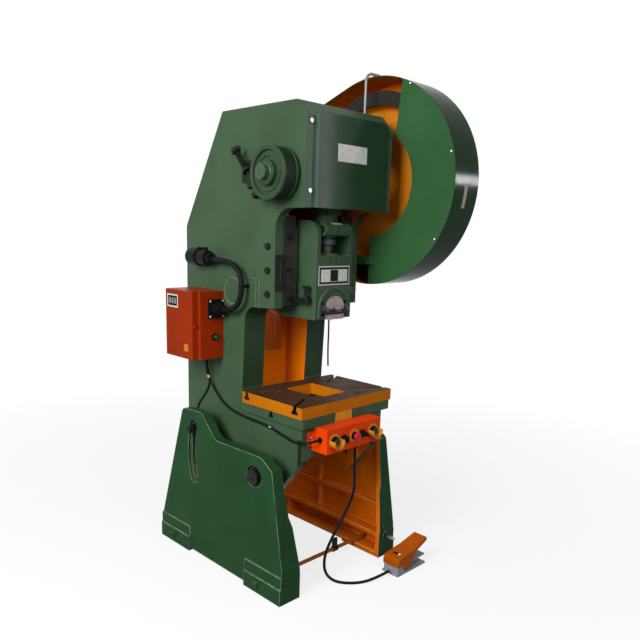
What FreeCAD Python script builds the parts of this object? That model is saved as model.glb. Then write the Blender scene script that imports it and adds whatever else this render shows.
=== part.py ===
import FreeCAD, Part
import math
import os
import re
from types import SimpleNamespace

from FreeCAD import Placement, Rotation, Vector

# Open-back inclinable power press of the 25 t class, in millimetres.
# X runs across the press, Y to the rear and Z up. The origin is on the floor, in the middle of the
# four anchor holes. The press is drawn upright, with the ram at the top of its stroke.

SIZES = {
    # stand
    "leg_length": 900, "leg_span": 730, "leg_wall": 25, "leg_flange": 22, "leg_foot": 26,
    "leg_depth": 105, "leg_top_depth": 49, "foot_rise": 12, "foot_pad": 240, "leg_rib": 18,
    "anchor_inset": 53, "anchor_length": 780, "anchor_hole": 22, "shoulder_height": 608,
    "hump_height": 714, "nose_height": 571, "pad_step": 5, "low_pad_height": 72, "high_pad_height": 124,
    "tie_rod_dia": 18, "tie_stud_dia": 16, "tie_nut_flats": 27, "tie_nut_thick": 14,
    "tie_rod_height": 43, "front_tie_back": 299, "rear_tie_back": 339,
    # tilt
    "pivot_back": -264, "pivot_height": 518, "pivot_pin_dia": 48, "pivot_flats": 65, "pivot_sink_dia": 96,
    "sink_deep": 14, "head_thick": 26, "slot_radius": 455, "lock_pin_dia": 28, "slot_width": 30,
    "slot_sink_width": 56, "lock_angle": 13, "tilt_range": 27, "washer_thick": 5, "lock_nut_thick": 24,
    "lock_flats": 41, "lock_pad_out": 280, "run_gap": 0.05, "face_gap": 0.3,
    # frame
    "frame_width": 500, "side_wall": 40, "cheek_width": 120, "frame_back": 383, "frame_top": 2018,
    "head_front": -417, "head_bottom": 1620, "guide_front": -244, "throat_top": 1206,
    "column_front": -36, "web_front": 95, "web_thick": 40, "bed_top": 788, "bed_thick": 42,
    "bed_width": 540, "bed_front": -455, "window_width": 194, "window_sill": 960, "window_top": 1160,
    "shell_wall": 25, "front_wall": 598, "chute_width": 200, "chute_depth": 230,
    # bolster
    "bolster_width": 560, "bolster_depth": 380, "bolster_thick": 50, "bolster_front": -457,
    "slot_neck": 18, "slot_foot": 32, "slot_neck_deep": 20, "slot_foot_deep": 15,
    "hole_width": 170, "hole_depth": 210, "hole_back": -262, "hole_left": -15, "bolster_bolt_dia": 16,
    # crank
    "crank_back": -287, "crank_height": 1748, "stroke": 65, "journal_dia": 90, "pin_dia": 84,
    "bush_wall": 8, "boss_dia": 220, "boss_length": 100, "web_radius": 80, "crank_cheek": 30,
    # ram
    "slide_width": 216, "slide_front": -342, "slide_bottom": 1167, "slide_lip": 1434, "slide_top": 1576,
    "tongue_reach": 50, "tongue_front": -224, "tongue_back": -160, "slide_back": -115, "pocket_floor": 1400,
    "shank_dia": 50, "shank_deep": 70, "clamp_radius": 48, "clamp_front": -360, "screw_dia": 58,
    "cap_dia": 114, "ring_dia": 84, "ring_low": 1476, "ring_high": 1502, "clamp_low": 1509,
    "clamp_high": 1572, "gib_thick": 22, "gib_low": 1222, "gib_high": 1596, "set_screw_back": -204,
    "set_screw_dia": 16, "ball_height": 1352, "ball_radius": 40, "seat_radius": 48, "rod_barrel_dia": 92,
    "rod_thick": 76, "eye_wall": 26,
    # flywheel, motor and guard
    "flywheel_dia": 780, "rim_width": 122, "flywheel_left": 294, "rim_thick": 58, "groove_pitch": 26,
    "groove_count": 4, "belt_top": 16.4, "belt_foot": 11.4, "belt_thick": 11.4, "pulley_dia": 104,
    "motor_back": 385, "motor_height": 1850, "motor_radius": 98, "guard_radius": 446, "guard_left": 270, "guard_depth": 172,
    "guard_sheet": 3, "guard_rear_radius": 122, "cut_radius": 230,
    # brake
    "drum_dia": 206, "drum_left": -336, "drum_right": -262, "drum_deep": 12, "band_thick": 6,
    "lining_thick": 4,
    # cover
    "cover_half": 207, "cover_deep": 20, "cover_sheet": 3, "cover_top": 1974,
    # control box
    "box_front": 100, "box_back": 326, "box_low": 958, "box_high": 1260, "box_out": -376,
    "box_sheet": 2, "door_deep": 28, "socket_size": 84, "socket_height": 1183,
    # button box
    "panel_left": -196, "panel_right": 136, "panel_front": -520, "panel_depth": 89.7, "panel_low": 641,
    "panel_high": 745,
    # foot switch
    "pedal_left": 182, "pedal_length": 210, "pedal_width": 80, "hood_tip_width": 68, "pedal_back": -590, "pedal_pin_in": 60,
    "pedal_pin_height": 36,
    # cords
    "foot_cable_dia": 13, "panel_cable_dia": 11, "conduit_dia": 24, "thin_cable_dia": 8,
}

DOC = FreeCAD.newDocument("stamping_press")
SHEET = DOC.addObject("Spreadsheet::Sheet", "sizes")
for row, (alias, number) in enumerate(SIZES.items(), start=1):
    SHEET.set(f"A{row}", alias)
    SHEET.set(f"B{row}", str(number))
    SHEET.setAlias(f"B{row}", alias)
DOC.recompute()
S = SimpleNamespace(**SIZES)
NODES = []
SET_SCREW_HEIGHTS = (1467, 1369, 1271)
BOLSTER_BOLTS = ((-110, -406), (110, -406), (-248, -335), (248, -335), (-248, -168), (248, -168))

X_AXIS, Y_AXIS, Z_AXIS = Vector(1, 0, 0), Vector(0, 1, 0), Vector(0, 0, 1)
AXES = {"X": X_AXIS, "Y": Y_AXIS, "Z": Z_AXIS}
# how a sketch lies: its own X, Y and normal in the press frame
PLANES = {
    "X": Rotation(Y_AXIS, Z_AXIS, X_AXIS, "ZXY"),
    "Y": Rotation(X_AXIS, Z_AXIS, -Y_AXIS, "ZXY"),
    "Z": Rotation(),
}
# how a cylinder that stands on Z is laid along each axis
LAY = {"X": Rotation(Y_AXIS, 90), "Y": Rotation(X_AXIS, -90), "Z": Rotation()}


def bound(text):
    """Writes aliases as references to the sheet."""
    return re.sub(r"[a-z_]+", lambda m: f"sizes.{m.group()}" if m.group() in SIZES else m.group(), text)


def put(thing, prop, value):
    """Sets a property, by expression where the value is text."""
    if isinstance(value, str):
        thing.setExpression(prop, bound(value))
    else:
        thing.setExpression(prop, repr(float(value)))


def place(thing, at):
    for letter, value in zip("xyz", at):
        put(thing, f"Placement.Base.{letter}", value)


def box(name, size, at):
    """A block from its low corner."""
    thing = DOC.addObject("Part::Box", name)
    for prop, value in zip(("Length", "Width", "Height"), size):
        put(thing, prop, value)
    place(thing, at)
    return thing


def rod(name, axis, at, radius, length):
    """A cylinder from the middle of its low end."""
    thing = DOC.addObject("Part::Cylinder", name)
    thing.Placement = Placement(Vector(), LAY[axis])
    put(thing, "Radius", radius)
    put(thing, "Height", length)
    place(thing, at)
    return thing


def hexagon(name, axis, at, flats, length):
    """A nut or bolt head by its width across flats."""
    thing = DOC.addObject("Part::Prism", name)
    thing.Polygon = 6
    thing.Placement = Placement(Vector(), LAY[axis])
    put(thing, "Circumradius", f"({flats}) / 2 / cos(30 deg)")
    put(thing, "Height", length)
    place(thing, at)
    return thing


def corner(before, point, after, radius):
    """Ends and middle of the arc that rounds a corner."""
    back, ahead = (before - point).normalize(), (after - point).normalize()
    half = back.getAngle(ahead) / 2
    reach = radius / math.tan(half)
    middle = (back + ahead).normalize()
    centre = point + middle * (radius / math.sin(half))
    return point + back * reach, centre - middle * radius, point + ahead * reach


def outline(points):
    """Lines and tangent arcs through the points; a third number rounds its corner."""
    spots = [Vector(p[0], p[1], 0) for p in points]
    runs = []
    for index, spot in enumerate(spots):
        radius = points[index][2] if len(points[index]) > 2 else 0
        if radius:
            runs.append(corner(spots[index - 1], spot, spots[(index + 1) % len(spots)], radius))
        else:
            runs.append((spot, None, spot))
    shapes = []
    for index, (start, middle, end) in enumerate(runs):
        if middle:
            shapes.append(Part.Arc(start, middle, end))
        ahead = runs[(index + 1) % len(runs)][0]
        if (ahead - end).Length > 1e-6:
            shapes.append(Part.LineSegment(end, ahead))
    return shapes


def inset(points, gap):
    """The same outline, moved inwards by a wall's thickness; the points run clockwise or not."""
    spots = [Vector(p[0], p[1], 0) for p in points]
    area = sum(a.x * b.y - b.x * a.y for a, b in zip(spots, spots[1:] + spots[:1]))
    side = 1 if area > 0 else -1
    moved = []
    for index, spot in enumerate(spots):
        into = (spot - spots[index - 1]).normalize()
        out = (spots[(index + 1) % len(spots)] - spot).normalize()
        left, right = Vector(-into.y, into.x, 0) * side, Vector(-out.y, out.x, 0) * side
        middle = (left + right).normalize()
        step = middle * (gap / max(middle.dot(left), 0.2))
        radius = points[index][2] if len(points[index]) > 2 else 0
        turned_in = (into.x * out.y - into.y * out.x) * side > 0
        radius = max(radius - gap, 4) if turned_in else radius + gap
        moved.append((spot.x + step.x, spot.y + step.y, radius))
    return moved


def sketch(name, axis, shapes, at):
    """A closed sketch on a plane across the axis."""
    drawn = DOC.addObject("Sketcher::SketchObject", name + "_sketch")
    drawn.Placement = Placement(Vector(), PLANES[axis])
    drawn.addGeometry(shapes)
    put(drawn, "Placement.Base." + axis.lower(), at)
    return drawn


def prism(name, axis, points, at, length):
    """A plate whose outline lies across the axis, thick along it."""
    shapes = outline(points) if isinstance(points[0], tuple) else points
    thing = DOC.addObject("Part::Extrusion", name)
    thing.Base = sketch(name, axis, shapes, at)
    thing.DirMode = "Custom"
    thing.Dir = AXES[axis]
    thing.Solid = True
    put(thing, "LengthFwd", length)
    return thing


def turned(name, axis, points, at):
    """A body turned about its own axis from (along, radius) points."""
    body = DOC.addObject("PartDesign::Body", name)
    turn = {"X": Rotation(), "Y": Rotation(Z_AXIS, 90), "Z": Rotation(Y_AXIS, -90)}[axis]
    body.Placement = Placement(Vector(), turn)
    place(body, at)
    profile = body.newObject("Sketcher::SketchObject", name + "_profile")
    plane = next(o for o in body.Origin.OriginFeatures if o.Role == "XZ_Plane")
    profile.AttachmentSupport = (plane, [""])
    profile.MapMode = "FlatFace"
    profile.addGeometry(outline(points))
    wheel = body.newObject("PartDesign::Revolution", name + "_turn")
    wheel.Profile = profile
    wheel.ReferenceAxis = (profile, ["H_Axis"])
    wheel.Angle = 360
    body.Tip = wheel
    return body


def fuse(name, parts):
    thing = DOC.addObject("Part::MultiFuse", name)
    thing.Shapes = parts
    thing.Refine = True
    return thing


def cut(name, base, tools):
    thing = DOC.addObject("Part::Cut", name)
    thing.Base = base
    thing.Tool = tools[0] if len(tools) == 1 else fuse(name + "_tools", tools)
    thing.Refine = True
    return thing


def group(name, parts):
    """Separate solids kept together as one node."""
    thing = DOC.addObject("Part::Compound", name)
    thing.Links = parts
    return thing


def mirrored(name, source):
    """The same piece on the other side of the press."""
    thing = DOC.addObject("Part::Mirroring", name)
    thing.Source = source
    thing.Normal = X_AXIS
    return thing


def both(name, source):
    """A piece and its twin, joined."""
    return fuse(name, [source, mirrored(name + "_twin", source)])


def keep(thing, label):
    """Names a finished node."""
    thing.Label = label
    NODES.append(thing)
    return thing


def arc_band(centre, radius, half, low, high):
    """A curved slot's outline with round ends, angles in degrees."""
    def spot(r, angle):
        a = math.radians(angle)
        return Vector(centre[0] + r * math.cos(a), centre[1] + r * math.sin(a), 0)

    outer, inner, tip = radius + half, radius - half, math.degrees(half / radius)
    return [
        Part.Arc(spot(outer, low), spot(outer, (low + high) / 2), spot(outer, high)),
        Part.Arc(spot(outer, high), spot(radius, high + tip), spot(inner, high)),
        Part.Arc(spot(inner, high), spot(inner, (low + high) / 2), spot(inner, low)),
        Part.Arc(spot(inner, low), spot(radius, low - tip), spot(outer, low)),
    ]


def route(points):
    """A cord's line: straight runs joined by tangent arcs, and the arcs' radii."""
    spots = [Vector(*p) for p in points]
    pieces, radii, start = [], [], spots[0]
    for before, spot, after in zip(spots, spots[1:], spots[2:]):
        back, ahead = (before - spot).normalize(), (after - spot).normalize()
        half = back.getAngle(ahead) / 2
        shorter = min((before - spot).Length, (after - spot).Length)
        radius = 0.45 * shorter * math.tan(half)
        first, middle, last = corner(before, spot, after, radius)
        pieces += [Part.LineSegment(start, first).toShape(), Part.Arc(first, middle, last).toShape()]
        radii.append(radius)
        start = last
    pieces.append(Part.LineSegment(start, spots[-1]).toShape())
    return Part.Wire(pieces), radii


def cord(label, points, dia):
    """A round cord swept along its route; its radii and volume are printed."""
    spine, radii = route(points)
    way = spots_way(points)
    ring = Part.Wire(Part.Circle(Vector(*points[0]), way, dia / 2).toShape())
    shape = spine.makePipeShell([ring], True, False)
    thing = DOC.addObject("Part::Feature", label)
    thing.Shape = shape
    wanted = math.pi * dia ** 2 / 4 * spine.Length
    print(label, "length", round(spine.Length), "least radius", round(min(radii), 1),
          "volume ratio", round(shape.Volume / wanted, 4))
    return thing


def spots_way(points):
    return (Vector(*points[1]) - Vector(*points[0])).normalize()


# ---------------------------------------------------------------- the stand
HALF = S.leg_length / 2
LEG_OUT = S.leg_span / 2
leg_points = [
    (-HALF, 0), (-HALF, 144, 40), (-HALF + 73, S.nose_height, 24), (-HALF + 143, S.shoulder_height + 4, 24),
    (8, S.shoulder_height, 50), (112, S.hump_height, 45), (262, S.hump_height - 8, 30), (HALF, 112, 20),
    (HALF, 0),
]
leg_block = prism("leg_block", "X", leg_points, "-leg_span / 2", "leg_depth")
leg_recess = prism("leg_recess", "X", inset(leg_points, S.leg_flange), "-leg_span / 2 + leg_wall", "leg_depth")
leg_arch = box("leg_arch", ("leg_depth + 20", "leg_length - 2 * foot_pad", "foot_rise"),
               ("-leg_span / 2 - 10", "-(leg_length / 2 - foot_pad)", 0))
taper_out = -LEG_OUT + S.leg_top_depth
taper_foot = -LEG_OUT + S.leg_depth
leg_taper = prism("leg_taper", "Y", [
    (taper_foot, 112), (taper_foot - 22, 318, 30), (taper_foot - 38, 362, 30), (taper_out, S.nose_height),
    (taper_out - 16, 760), (taper_foot + 40, 760), (taper_foot + 40, 112)],
    "-leg_length / 2 - 20", "leg_length + 40")
foot_pads = []
for step, pad_height in ((1, "high_pad_height"), (2, "low_pad_height")):
    for end, pad_at in (("front", "-leg_length / 2"), ("rear", "leg_length / 2 - foot_pad")):
        foot_pads.append(box(f"{end}_pad_{step}", (f"{step} * pad_step + 1", "foot_pad", pad_height),
                             (f"-leg_span / 2 - {step} * pad_step", pad_at, 0)))
leg_shell = cut("leg_shell", leg_block, [leg_recess, leg_arch])
rib_in = "-leg_span / 2 + leg_wall - 1"
leg_ledge = box("leg_ledge", ("leg_depth - leg_wall - 16", "leg_length - 40", "leg_rib"),
                (rib_in, "-leg_length / 2 + 20", 94))
leg_shelf = box("leg_shelf", ("30", "700", "leg_rib"), (rib_in, -426, 234))
leg_upright = box("leg_upright", ("22", "leg_rib", "470"), (rib_in, 12, 100))
leg_post = box("leg_post", ("60", "leg_rib", "110"), (rib_in, 205, 2))
leg_foot_plate = box("leg_foot_plate", ("leg_depth - leg_wall", "leg_length - 20", "leg_foot - foot_rise"),
                     ("-leg_span / 2 + leg_wall - 1", "-leg_length / 2 + 10", "foot_rise"))
leg_ribbed = cut("leg_ribbed", fuse("leg_with_ribs", [
    leg_shell, leg_ledge, leg_shelf, leg_upright, leg_post, leg_foot_plate] + foot_pads), [leg_taper])
pivot_boss = rod("pivot_boss", "X", ("-leg_span / 2 + leg_wall - 1", "pivot_back", "pivot_height"), 54,
                 "leg_span / 2 - frame_width / 2 - leg_wall + 1 - face_gap")
slot_centre = (S.pivot_back, S.pivot_height)
slot_low = S.lock_angle - S.tilt_range - 1.5
slot_high = S.lock_angle + 3
slot_boss = prism("slot_boss", "X", arc_band(slot_centre, S.slot_radius, 44, slot_low - 1, slot_high),
                  "-leg_span / 2 + leg_wall - 1", "leg_span / 2 - lock_pad_out - leg_wall + 1 - face_gap")
leg_body = fuse("leg_body", [leg_ribbed, pivot_boss, slot_boss])
leg_cuts = [
    rod("pivot_bore", "X", ("-leg_span / 2 - 10", "pivot_back", "pivot_height"),
        "pivot_pin_dia / 2 + run_gap", "leg_depth + 60"),
    prism("tilt_slot", "X", arc_band(slot_centre, S.slot_radius, S.slot_width / 2, slot_low, slot_high),
          "-leg_span / 2 - 10", "leg_depth + 60"),
    rod("pivot_sink", "X", ("-leg_span / 2 - 10", "pivot_back", "pivot_height"),
        "pivot_sink_dia / 2", "10 + sink_deep"),
    prism("slot_sink", "X",
          arc_band(slot_centre, S.slot_radius, S.slot_sink_width / 2, slot_low - 1, slot_high - 1),
          "-leg_span / 2 - 10", "10 + sink_deep"),
]
for end, sign in (("front", "-"), ("rear", "")):
    leg_cuts.append(rod(f"anchor_{end}", "Z", ("-leg_span / 2 + anchor_inset", f"{sign}anchor_length / 2", -5),
                        "anchor_hole / 2", "leg_foot + 20"))
for end, back in (("front", "-front_tie_back"), ("rear", "rear_tie_back")):
    leg_cuts.append(rod(f"tie_hole_{end}", "X", ("-leg_span / 2 - 20", back, "tie_rod_height"),
                        "tie_stud_dia / 2 + run_gap", "leg_wall + 30"))
left_leg = keep(cut("left_leg", leg_body, leg_cuts), "left_leg")
keep(mirrored("right_leg", left_leg), "right_leg")

tie_rods = []
for end, back in (("front", "-front_tie_back"), ("rear", "rear_tie_back")):
    stud_over = "2 * pad_step + tie_nut_thick + 6"
    tie_rods.append(fuse(f"{end}_tie_rod", [
        rod(f"{end}_tie_bar", "X", ("-leg_span / 2 + leg_wall + run_gap", back, "tie_rod_height"),
            "tie_rod_dia / 2", "leg_span - 2 * leg_wall - 2 * run_gap"),
        rod(f"{end}_tie_stud", "X", (f"-leg_span / 2 - ({stud_over})", back, "tie_rod_height"),
            "tie_stud_dia / 2", f"leg_span + 2 * ({stud_over})"),
    ]))
keep(group("tie_rods", tie_rods), "tie_rods")
tie_nuts = []
for end, back in (("front", "-front_tie_back"), ("rear", "rear_tie_back")):
    for side, at in (("left", "-leg_span / 2 - 2 * pad_step - tie_nut_thick"),
                     ("right", "leg_span / 2 + 2 * pad_step")):
        nut = hexagon(f"{end}_{side}_nut", "X", (at, back, "tie_rod_height"), "tie_nut_flats", "tie_nut_thick")
        bore = rod(f"{end}_{side}_nut_bore", "X", (at, back, "tie_rod_height"),
                   "tie_stud_dia / 2 + run_gap", "tie_nut_thick")
        tie_nuts.append(cut(f"{end}_{side}_tie_nut", nut, [bore]))
keep(group("tie_rod_nuts", tie_nuts), "tie_rod_nuts")

# ---------------------------------------------------------------- the frame
WALL_OUT = S.frame_width / 2
side_points = [
    (S.head_front, S.head_bottom), (S.head_front, 1959), (S.head_front + 61, S.frame_top),
    (106, S.frame_top, 12), (S.frame_back, 1540, 40), (S.frame_back, 540, 30), (250, 408, 60),
    (S.pivot_back - 6, 408, 66), (-430, S.front_wall, 20), (-430, S.bed_top - S.bed_thick),
    (S.bed_front, S.bed_top - S.bed_thick), (S.bed_front, S.bed_top), (S.column_front, S.bed_top),
    (S.column_front - 20, S.throat_top, 62), (S.guide_front, S.throat_top + 8),
    (S.guide_front, S.head_bottom, 86),
]
side_wall = prism("side_wall", "X", side_points, "-frame_width / 2", "side_wall")
cheek_points = [
    (S.column_front, S.bed_top - 20), (S.column_front, S.bed_top), (S.column_front - 20, S.throat_top, 62),
    (S.guide_front, S.throat_top + 8), (S.guide_front, S.head_bottom - 60), (S.web_front + 20, S.head_bottom - 60),
    (S.web_front + 20, S.bed_top - 20),
]
cheek = prism("cheek", "X", cheek_points, "-frame_width / 2 + 1", "cheek_width - 1")
bearing_boss = rod("bearing_boss", "X", ("-frame_width / 2 + 1", "crank_back", "crank_height"),
                   "boss_dia / 2", "boss_length")
frame_pivot_boss = rod("frame_pivot_boss", "X", ("-frame_width / 2 + 1", "pivot_back", "pivot_height"),
                       70, "side_wall + 20")
lock_back = "pivot_back + slot_radius * cos(lock_angle * 1 deg)"
lock_up = "pivot_height + slot_radius * sin(lock_angle * 1 deg)"
lock_boss = rod("lock_boss", "X", ("-lock_pad_out", lock_back, lock_up), 40, "lock_pad_out - frame_width / 2 + 1")
half_frame = fuse("half_frame", [side_wall, cheek, bearing_boss, frame_pivot_boss, lock_boss])
wall = S.shell_wall
shell_points = [
    (S.head_front, 1925), (S.head_front, 1959), (S.head_front + 61, S.frame_top), (106, S.frame_top, 12),
    (S.frame_back, 1540), (S.frame_back, 1515), (S.frame_back - wall - 4, 1536), (92, S.frame_top - wall),
    (S.head_front + 71, S.frame_top - wall), (S.head_front + wall, 1949), (S.head_front + wall, 1925),
]
head_shell = prism("head_shell", "X", shell_points, "-frame_width / 2 + 1", "frame_width - 2")
deck = box("deck", ("frame_width - 2", "frame_back - web_front", "shell_wall"),
           ("-frame_width / 2 + 1", "web_front", 1515))
web = box("web", ("frame_width - 2", "web_thick", 1540 - 520), ("-frame_width / 2 + 1", "web_front", 520))
half_window = S.window_width / 2
window = prism("window", "Y", [
    (-half_window, S.window_sill), (half_window, S.window_sill), (half_window, S.window_top, 80),
    (-half_window, S.window_top, 80)], "web_front - 10", "web_thick + 20")
bed = box("bed", ("frame_width - 2", "-bed_front + web_front", "bed_thick"),
          ("-frame_width / 2 + 1", "bed_front", "bed_top - bed_thick"))
bed_lip = box("bed_lip", ("bed_width", "-bed_front - 62", "bed_thick"),
              ("-bed_width / 2", "bed_front", "bed_top - bed_thick"))
front_wall = prism("front_wall_plate", "Y", [
    (-WALL_OUT, S.front_wall), (-WALL_OUT + 95, S.front_wall + 16, 30), (-WALL_OUT + 150, 690, 40),
    (WALL_OUT - 150, 690, 40), (WALL_OUT - 95, S.front_wall + 16, 30), (WALL_OUT, S.front_wall),
    (WALL_OUT, S.bed_top - 20), (-WALL_OUT, S.bed_top - 20)], -430, 25)
bed_rib = box("bed_rib", ("frame_width - 2", 30, 90), ("-frame_width / 2 + 1", -90, "bed_top - bed_thick - 88"))
frame_solid = fuse("frame_solid", [
    both("frame_sides", half_frame), head_shell, deck, web, bed, bed_lip, front_wall,
    bed_rib])

chute = box("chute", ("chute_width", "chute_depth", "bed_thick + 20"),
            ("-chute_width / 2 + hole_left", "hole_back - chute_depth / 2", "bed_top - bed_thick - 10"))
tongue_half = "(slide_width / 2 + tongue_reach)"
frame_cuts = [window, chute]
for side in ("left", "right"):
    way_span, seat_span = f"{tongue_half} + gib_thick + face_gap - 100", f"{tongue_half} + gib_thick + 24 - 100"
    way_low = {"left": f"-({tongue_half} + gib_thick + face_gap)", "right": "100"}[side]
    seat_low = {"left": f"-({tongue_half} + gib_thick + 24)", "right": "100"}[side]
    frame_cuts.append(box(f"{side}_guide_way", (
        way_span, "tongue_back - tongue_front + run_gap", "head_bottom - throat_top + 40"),
        (way_low, "tongue_front", "throat_top - 20")))
    frame_cuts.append(box(f"{side}_plate_seat", (
        seat_span, "tongue_front - guide_front + 20", "head_bottom - throat_top + 40"),
        (seat_low, "guide_front - 20", "throat_top - 20")))
frame_cuts.append(rod("main_bore", "X", ("-frame_width / 2 - 10", "crank_back", "crank_height"),
                      "journal_dia / 2 + bush_wall", "frame_width + 20"))
frame_cuts.append(rod("frame_pivot_bore", "X", ("-frame_width / 2 - 10", "pivot_back", "pivot_height"),
                      "pivot_pin_dia / 2 + run_gap", "frame_width + 20"))
frame_cuts.append(rod("lock_bore", "X", ("-lock_pad_out - 10", lock_back, lock_up),
                      "lock_pin_dia / 2 + run_gap", "2 * lock_pad_out + 20"))
for index, up in enumerate(SET_SCREW_HEIGHTS):
    frame_cuts.append(rod(f"set_screw_hole_{index}", "X", ("-frame_width / 2 - 10", "set_screw_back", up),
                          "set_screw_dia / 2 + run_gap", "frame_width + 20"))
frame_cuts.append(box("bed_slot_neck", ("bed_width + 20", "slot_neck", "slot_neck_deep"),
                      ("-bed_width / 2 - 10", "-258 - slot_neck / 2", "bed_top - slot_neck_deep")))
frame_cuts.append(box("bed_slot_foot", ("bed_width + 20", "slot_foot", "slot_foot_deep"),
                      ("-bed_width / 2 - 10", "-258 - slot_foot / 2", "bed_top - slot_neck_deep - slot_foot_deep")))
for index, (along, back) in enumerate(BOLSTER_BOLTS):
    frame_cuts.append(rod(f"bed_thread_{index}", "Z", (along, back, "bed_top - bed_thick - 10"),
                          "bolster_bolt_dia / 2 + run_gap", "bed_thick + 20"))
keep(cut("frame", frame_solid, frame_cuts), "frame")

# ---------------------------------------------------------------- pins of the tilt
def outward(side, start, length):
    """Where a piece begins on X that reaches length from start, away from the middle of the press."""
    return f"-({start}) - ({length})" if side == "left" else start


seat_out = "leg_span / 2 - sink_deep + face_gap"
pin_span = f"{seat_out} - frame_width / 2 + side_wall"
tilt_bolts = []
for side in ("left", "right"):
    pin_at = outward(side, "frame_width / 2 - side_wall", f"{pin_span} + 1")
    tilt_bolts.append(fuse(f"{side}_pivot_bolt", [
        rod(f"{side}_pivot_pin", "X", (pin_at, "pivot_back", "pivot_height"), "pivot_pin_dia / 2",
            f"{pin_span} + 1"),
        hexagon(f"{side}_pivot_head", "X", (outward(side, seat_out, "head_thick"), "pivot_back", "pivot_height"),
                "pivot_flats", "head_thick"),
    ]))
    nut_from = f"{seat_out} + washer_thick - 1"
    stud_long = f"{pin_span} + washer_thick + lock_nut_thick + 12"
    tilt_bolts.append(fuse(f"{side}_lock_bolt", [
        rod(f"{side}_lock_pin", "X", (outward(side, "frame_width / 2 - side_wall", stud_long), lock_back, lock_up),
            "lock_pin_dia / 2", stud_long),
        rod(f"{side}_lock_washer", "X", (outward(side, seat_out, "washer_thick"), lock_back, lock_up),
            "slot_sink_width / 2 - 2", "washer_thick"),
        hexagon(f"{side}_lock_nut", "X", (outward(side, nut_from, "lock_nut_thick + 1"), lock_back, lock_up),
                "lock_flats", "lock_nut_thick + 1"),
    ]))
keep(group("tilt_bolts", tilt_bolts), "tilt_bolts")

# ---------------------------------------------------------------- bolster
slab = prism("bolster_slab", "Z", [
    (-S.bolster_width / 2, S.bolster_front), (S.bolster_width / 2, S.bolster_front),
    (S.bolster_width / 2, S.bolster_front + S.bolster_depth),
    (-S.bolster_width / 2, S.bolster_front + S.bolster_depth)], "bed_top", "bolster_thick")
half_w, half_d = S.hole_width / 2, S.hole_depth / 2
bolster_cuts = [prism("bolster_hole", "Z", [
    (S.hole_left - half_w, S.hole_back - half_d, 16), (S.hole_left + half_w, S.hole_back - half_d, 16),
    (S.hole_left + half_w, S.hole_back + half_d, 16), (S.hole_left - half_w, S.hole_back + half_d, 16)],
    "bed_top - 10", "bolster_thick + 20")]
slot_top = "bed_top + bolster_thick"
for index, (side, inner_back, turn) in enumerate(((-1, -340, 210), (1, -340, -30), (-1, -180, 150), (1, -180, 30))):
    for part_name, width, low, deep in (
            ("neck", "slot_neck", f"{slot_top} - slot_neck_deep", "slot_neck_deep + 10"),
            ("foot", "slot_foot", f"{slot_top} - slot_neck_deep - slot_foot_deep", "slot_foot_deep")):
        piece = DOC.addObject("Part::Box", f"slot_{part_name}_{index}")
        width_now = S.slot_neck if part_name == "neck" else S.slot_foot
        angle = math.radians(turn)
        put(piece, "Length", 200)
        put(piece, "Width", width)
        put(piece, "Height", deep)
        piece.Placement = Placement(Vector(side * 152 + width_now / 2 * math.sin(angle),
                                           inner_back - width_now / 2 * math.cos(angle), 0),
                                    Rotation(Z_AXIS, turn))
        put(piece, "Placement.Base.z", low)
        bolster_cuts.append(piece)
        bolster_cuts.append(rod(f"slot_{part_name}_end_{index}", "Z", (side * 152, inner_back, low),
                                f"{width} / 2", deep))
bolster_bolts = []
for index, (along, back) in enumerate(BOLSTER_BOLTS):
    bolster_cuts.append(rod(f"bolt_way_{index}", "Z", (along, back, "bed_top - 10"),
                            "bolster_bolt_dia / 2 + run_gap", "bolster_thick + 20"))
    bolster_cuts.append(rod(f"bolt_sink_{index}", "Z", (along, back, f"{slot_top} - 20"),
                            "bolster_bolt_dia * 0.75 + 1", 40))
    shank = rod(f"bolster_shank_{index}", "Z", (along, back, "bed_top - bed_thick + 8"), "bolster_bolt_dia / 2",
                "bed_thick + bolster_thick - 28")
    head = rod(f"bolster_head_{index}", "Z", (along, back, f"{slot_top} - 20"), "bolster_bolt_dia * 0.75", 16)
    socket = hexagon(f"bolster_socket_{index}", "Z", (along, back, f"{slot_top} - 12"), 14, 9)
    bolster_bolts.append(cut(f"bolster_bolt_{index}", fuse(f"bolster_blank_{index}", [shank, head]), [socket]))
keep(cut("bolster", slab, bolster_cuts), "bolster")
keep(group("bolster_bolts", bolster_bolts), "bolster_bolts")

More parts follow.
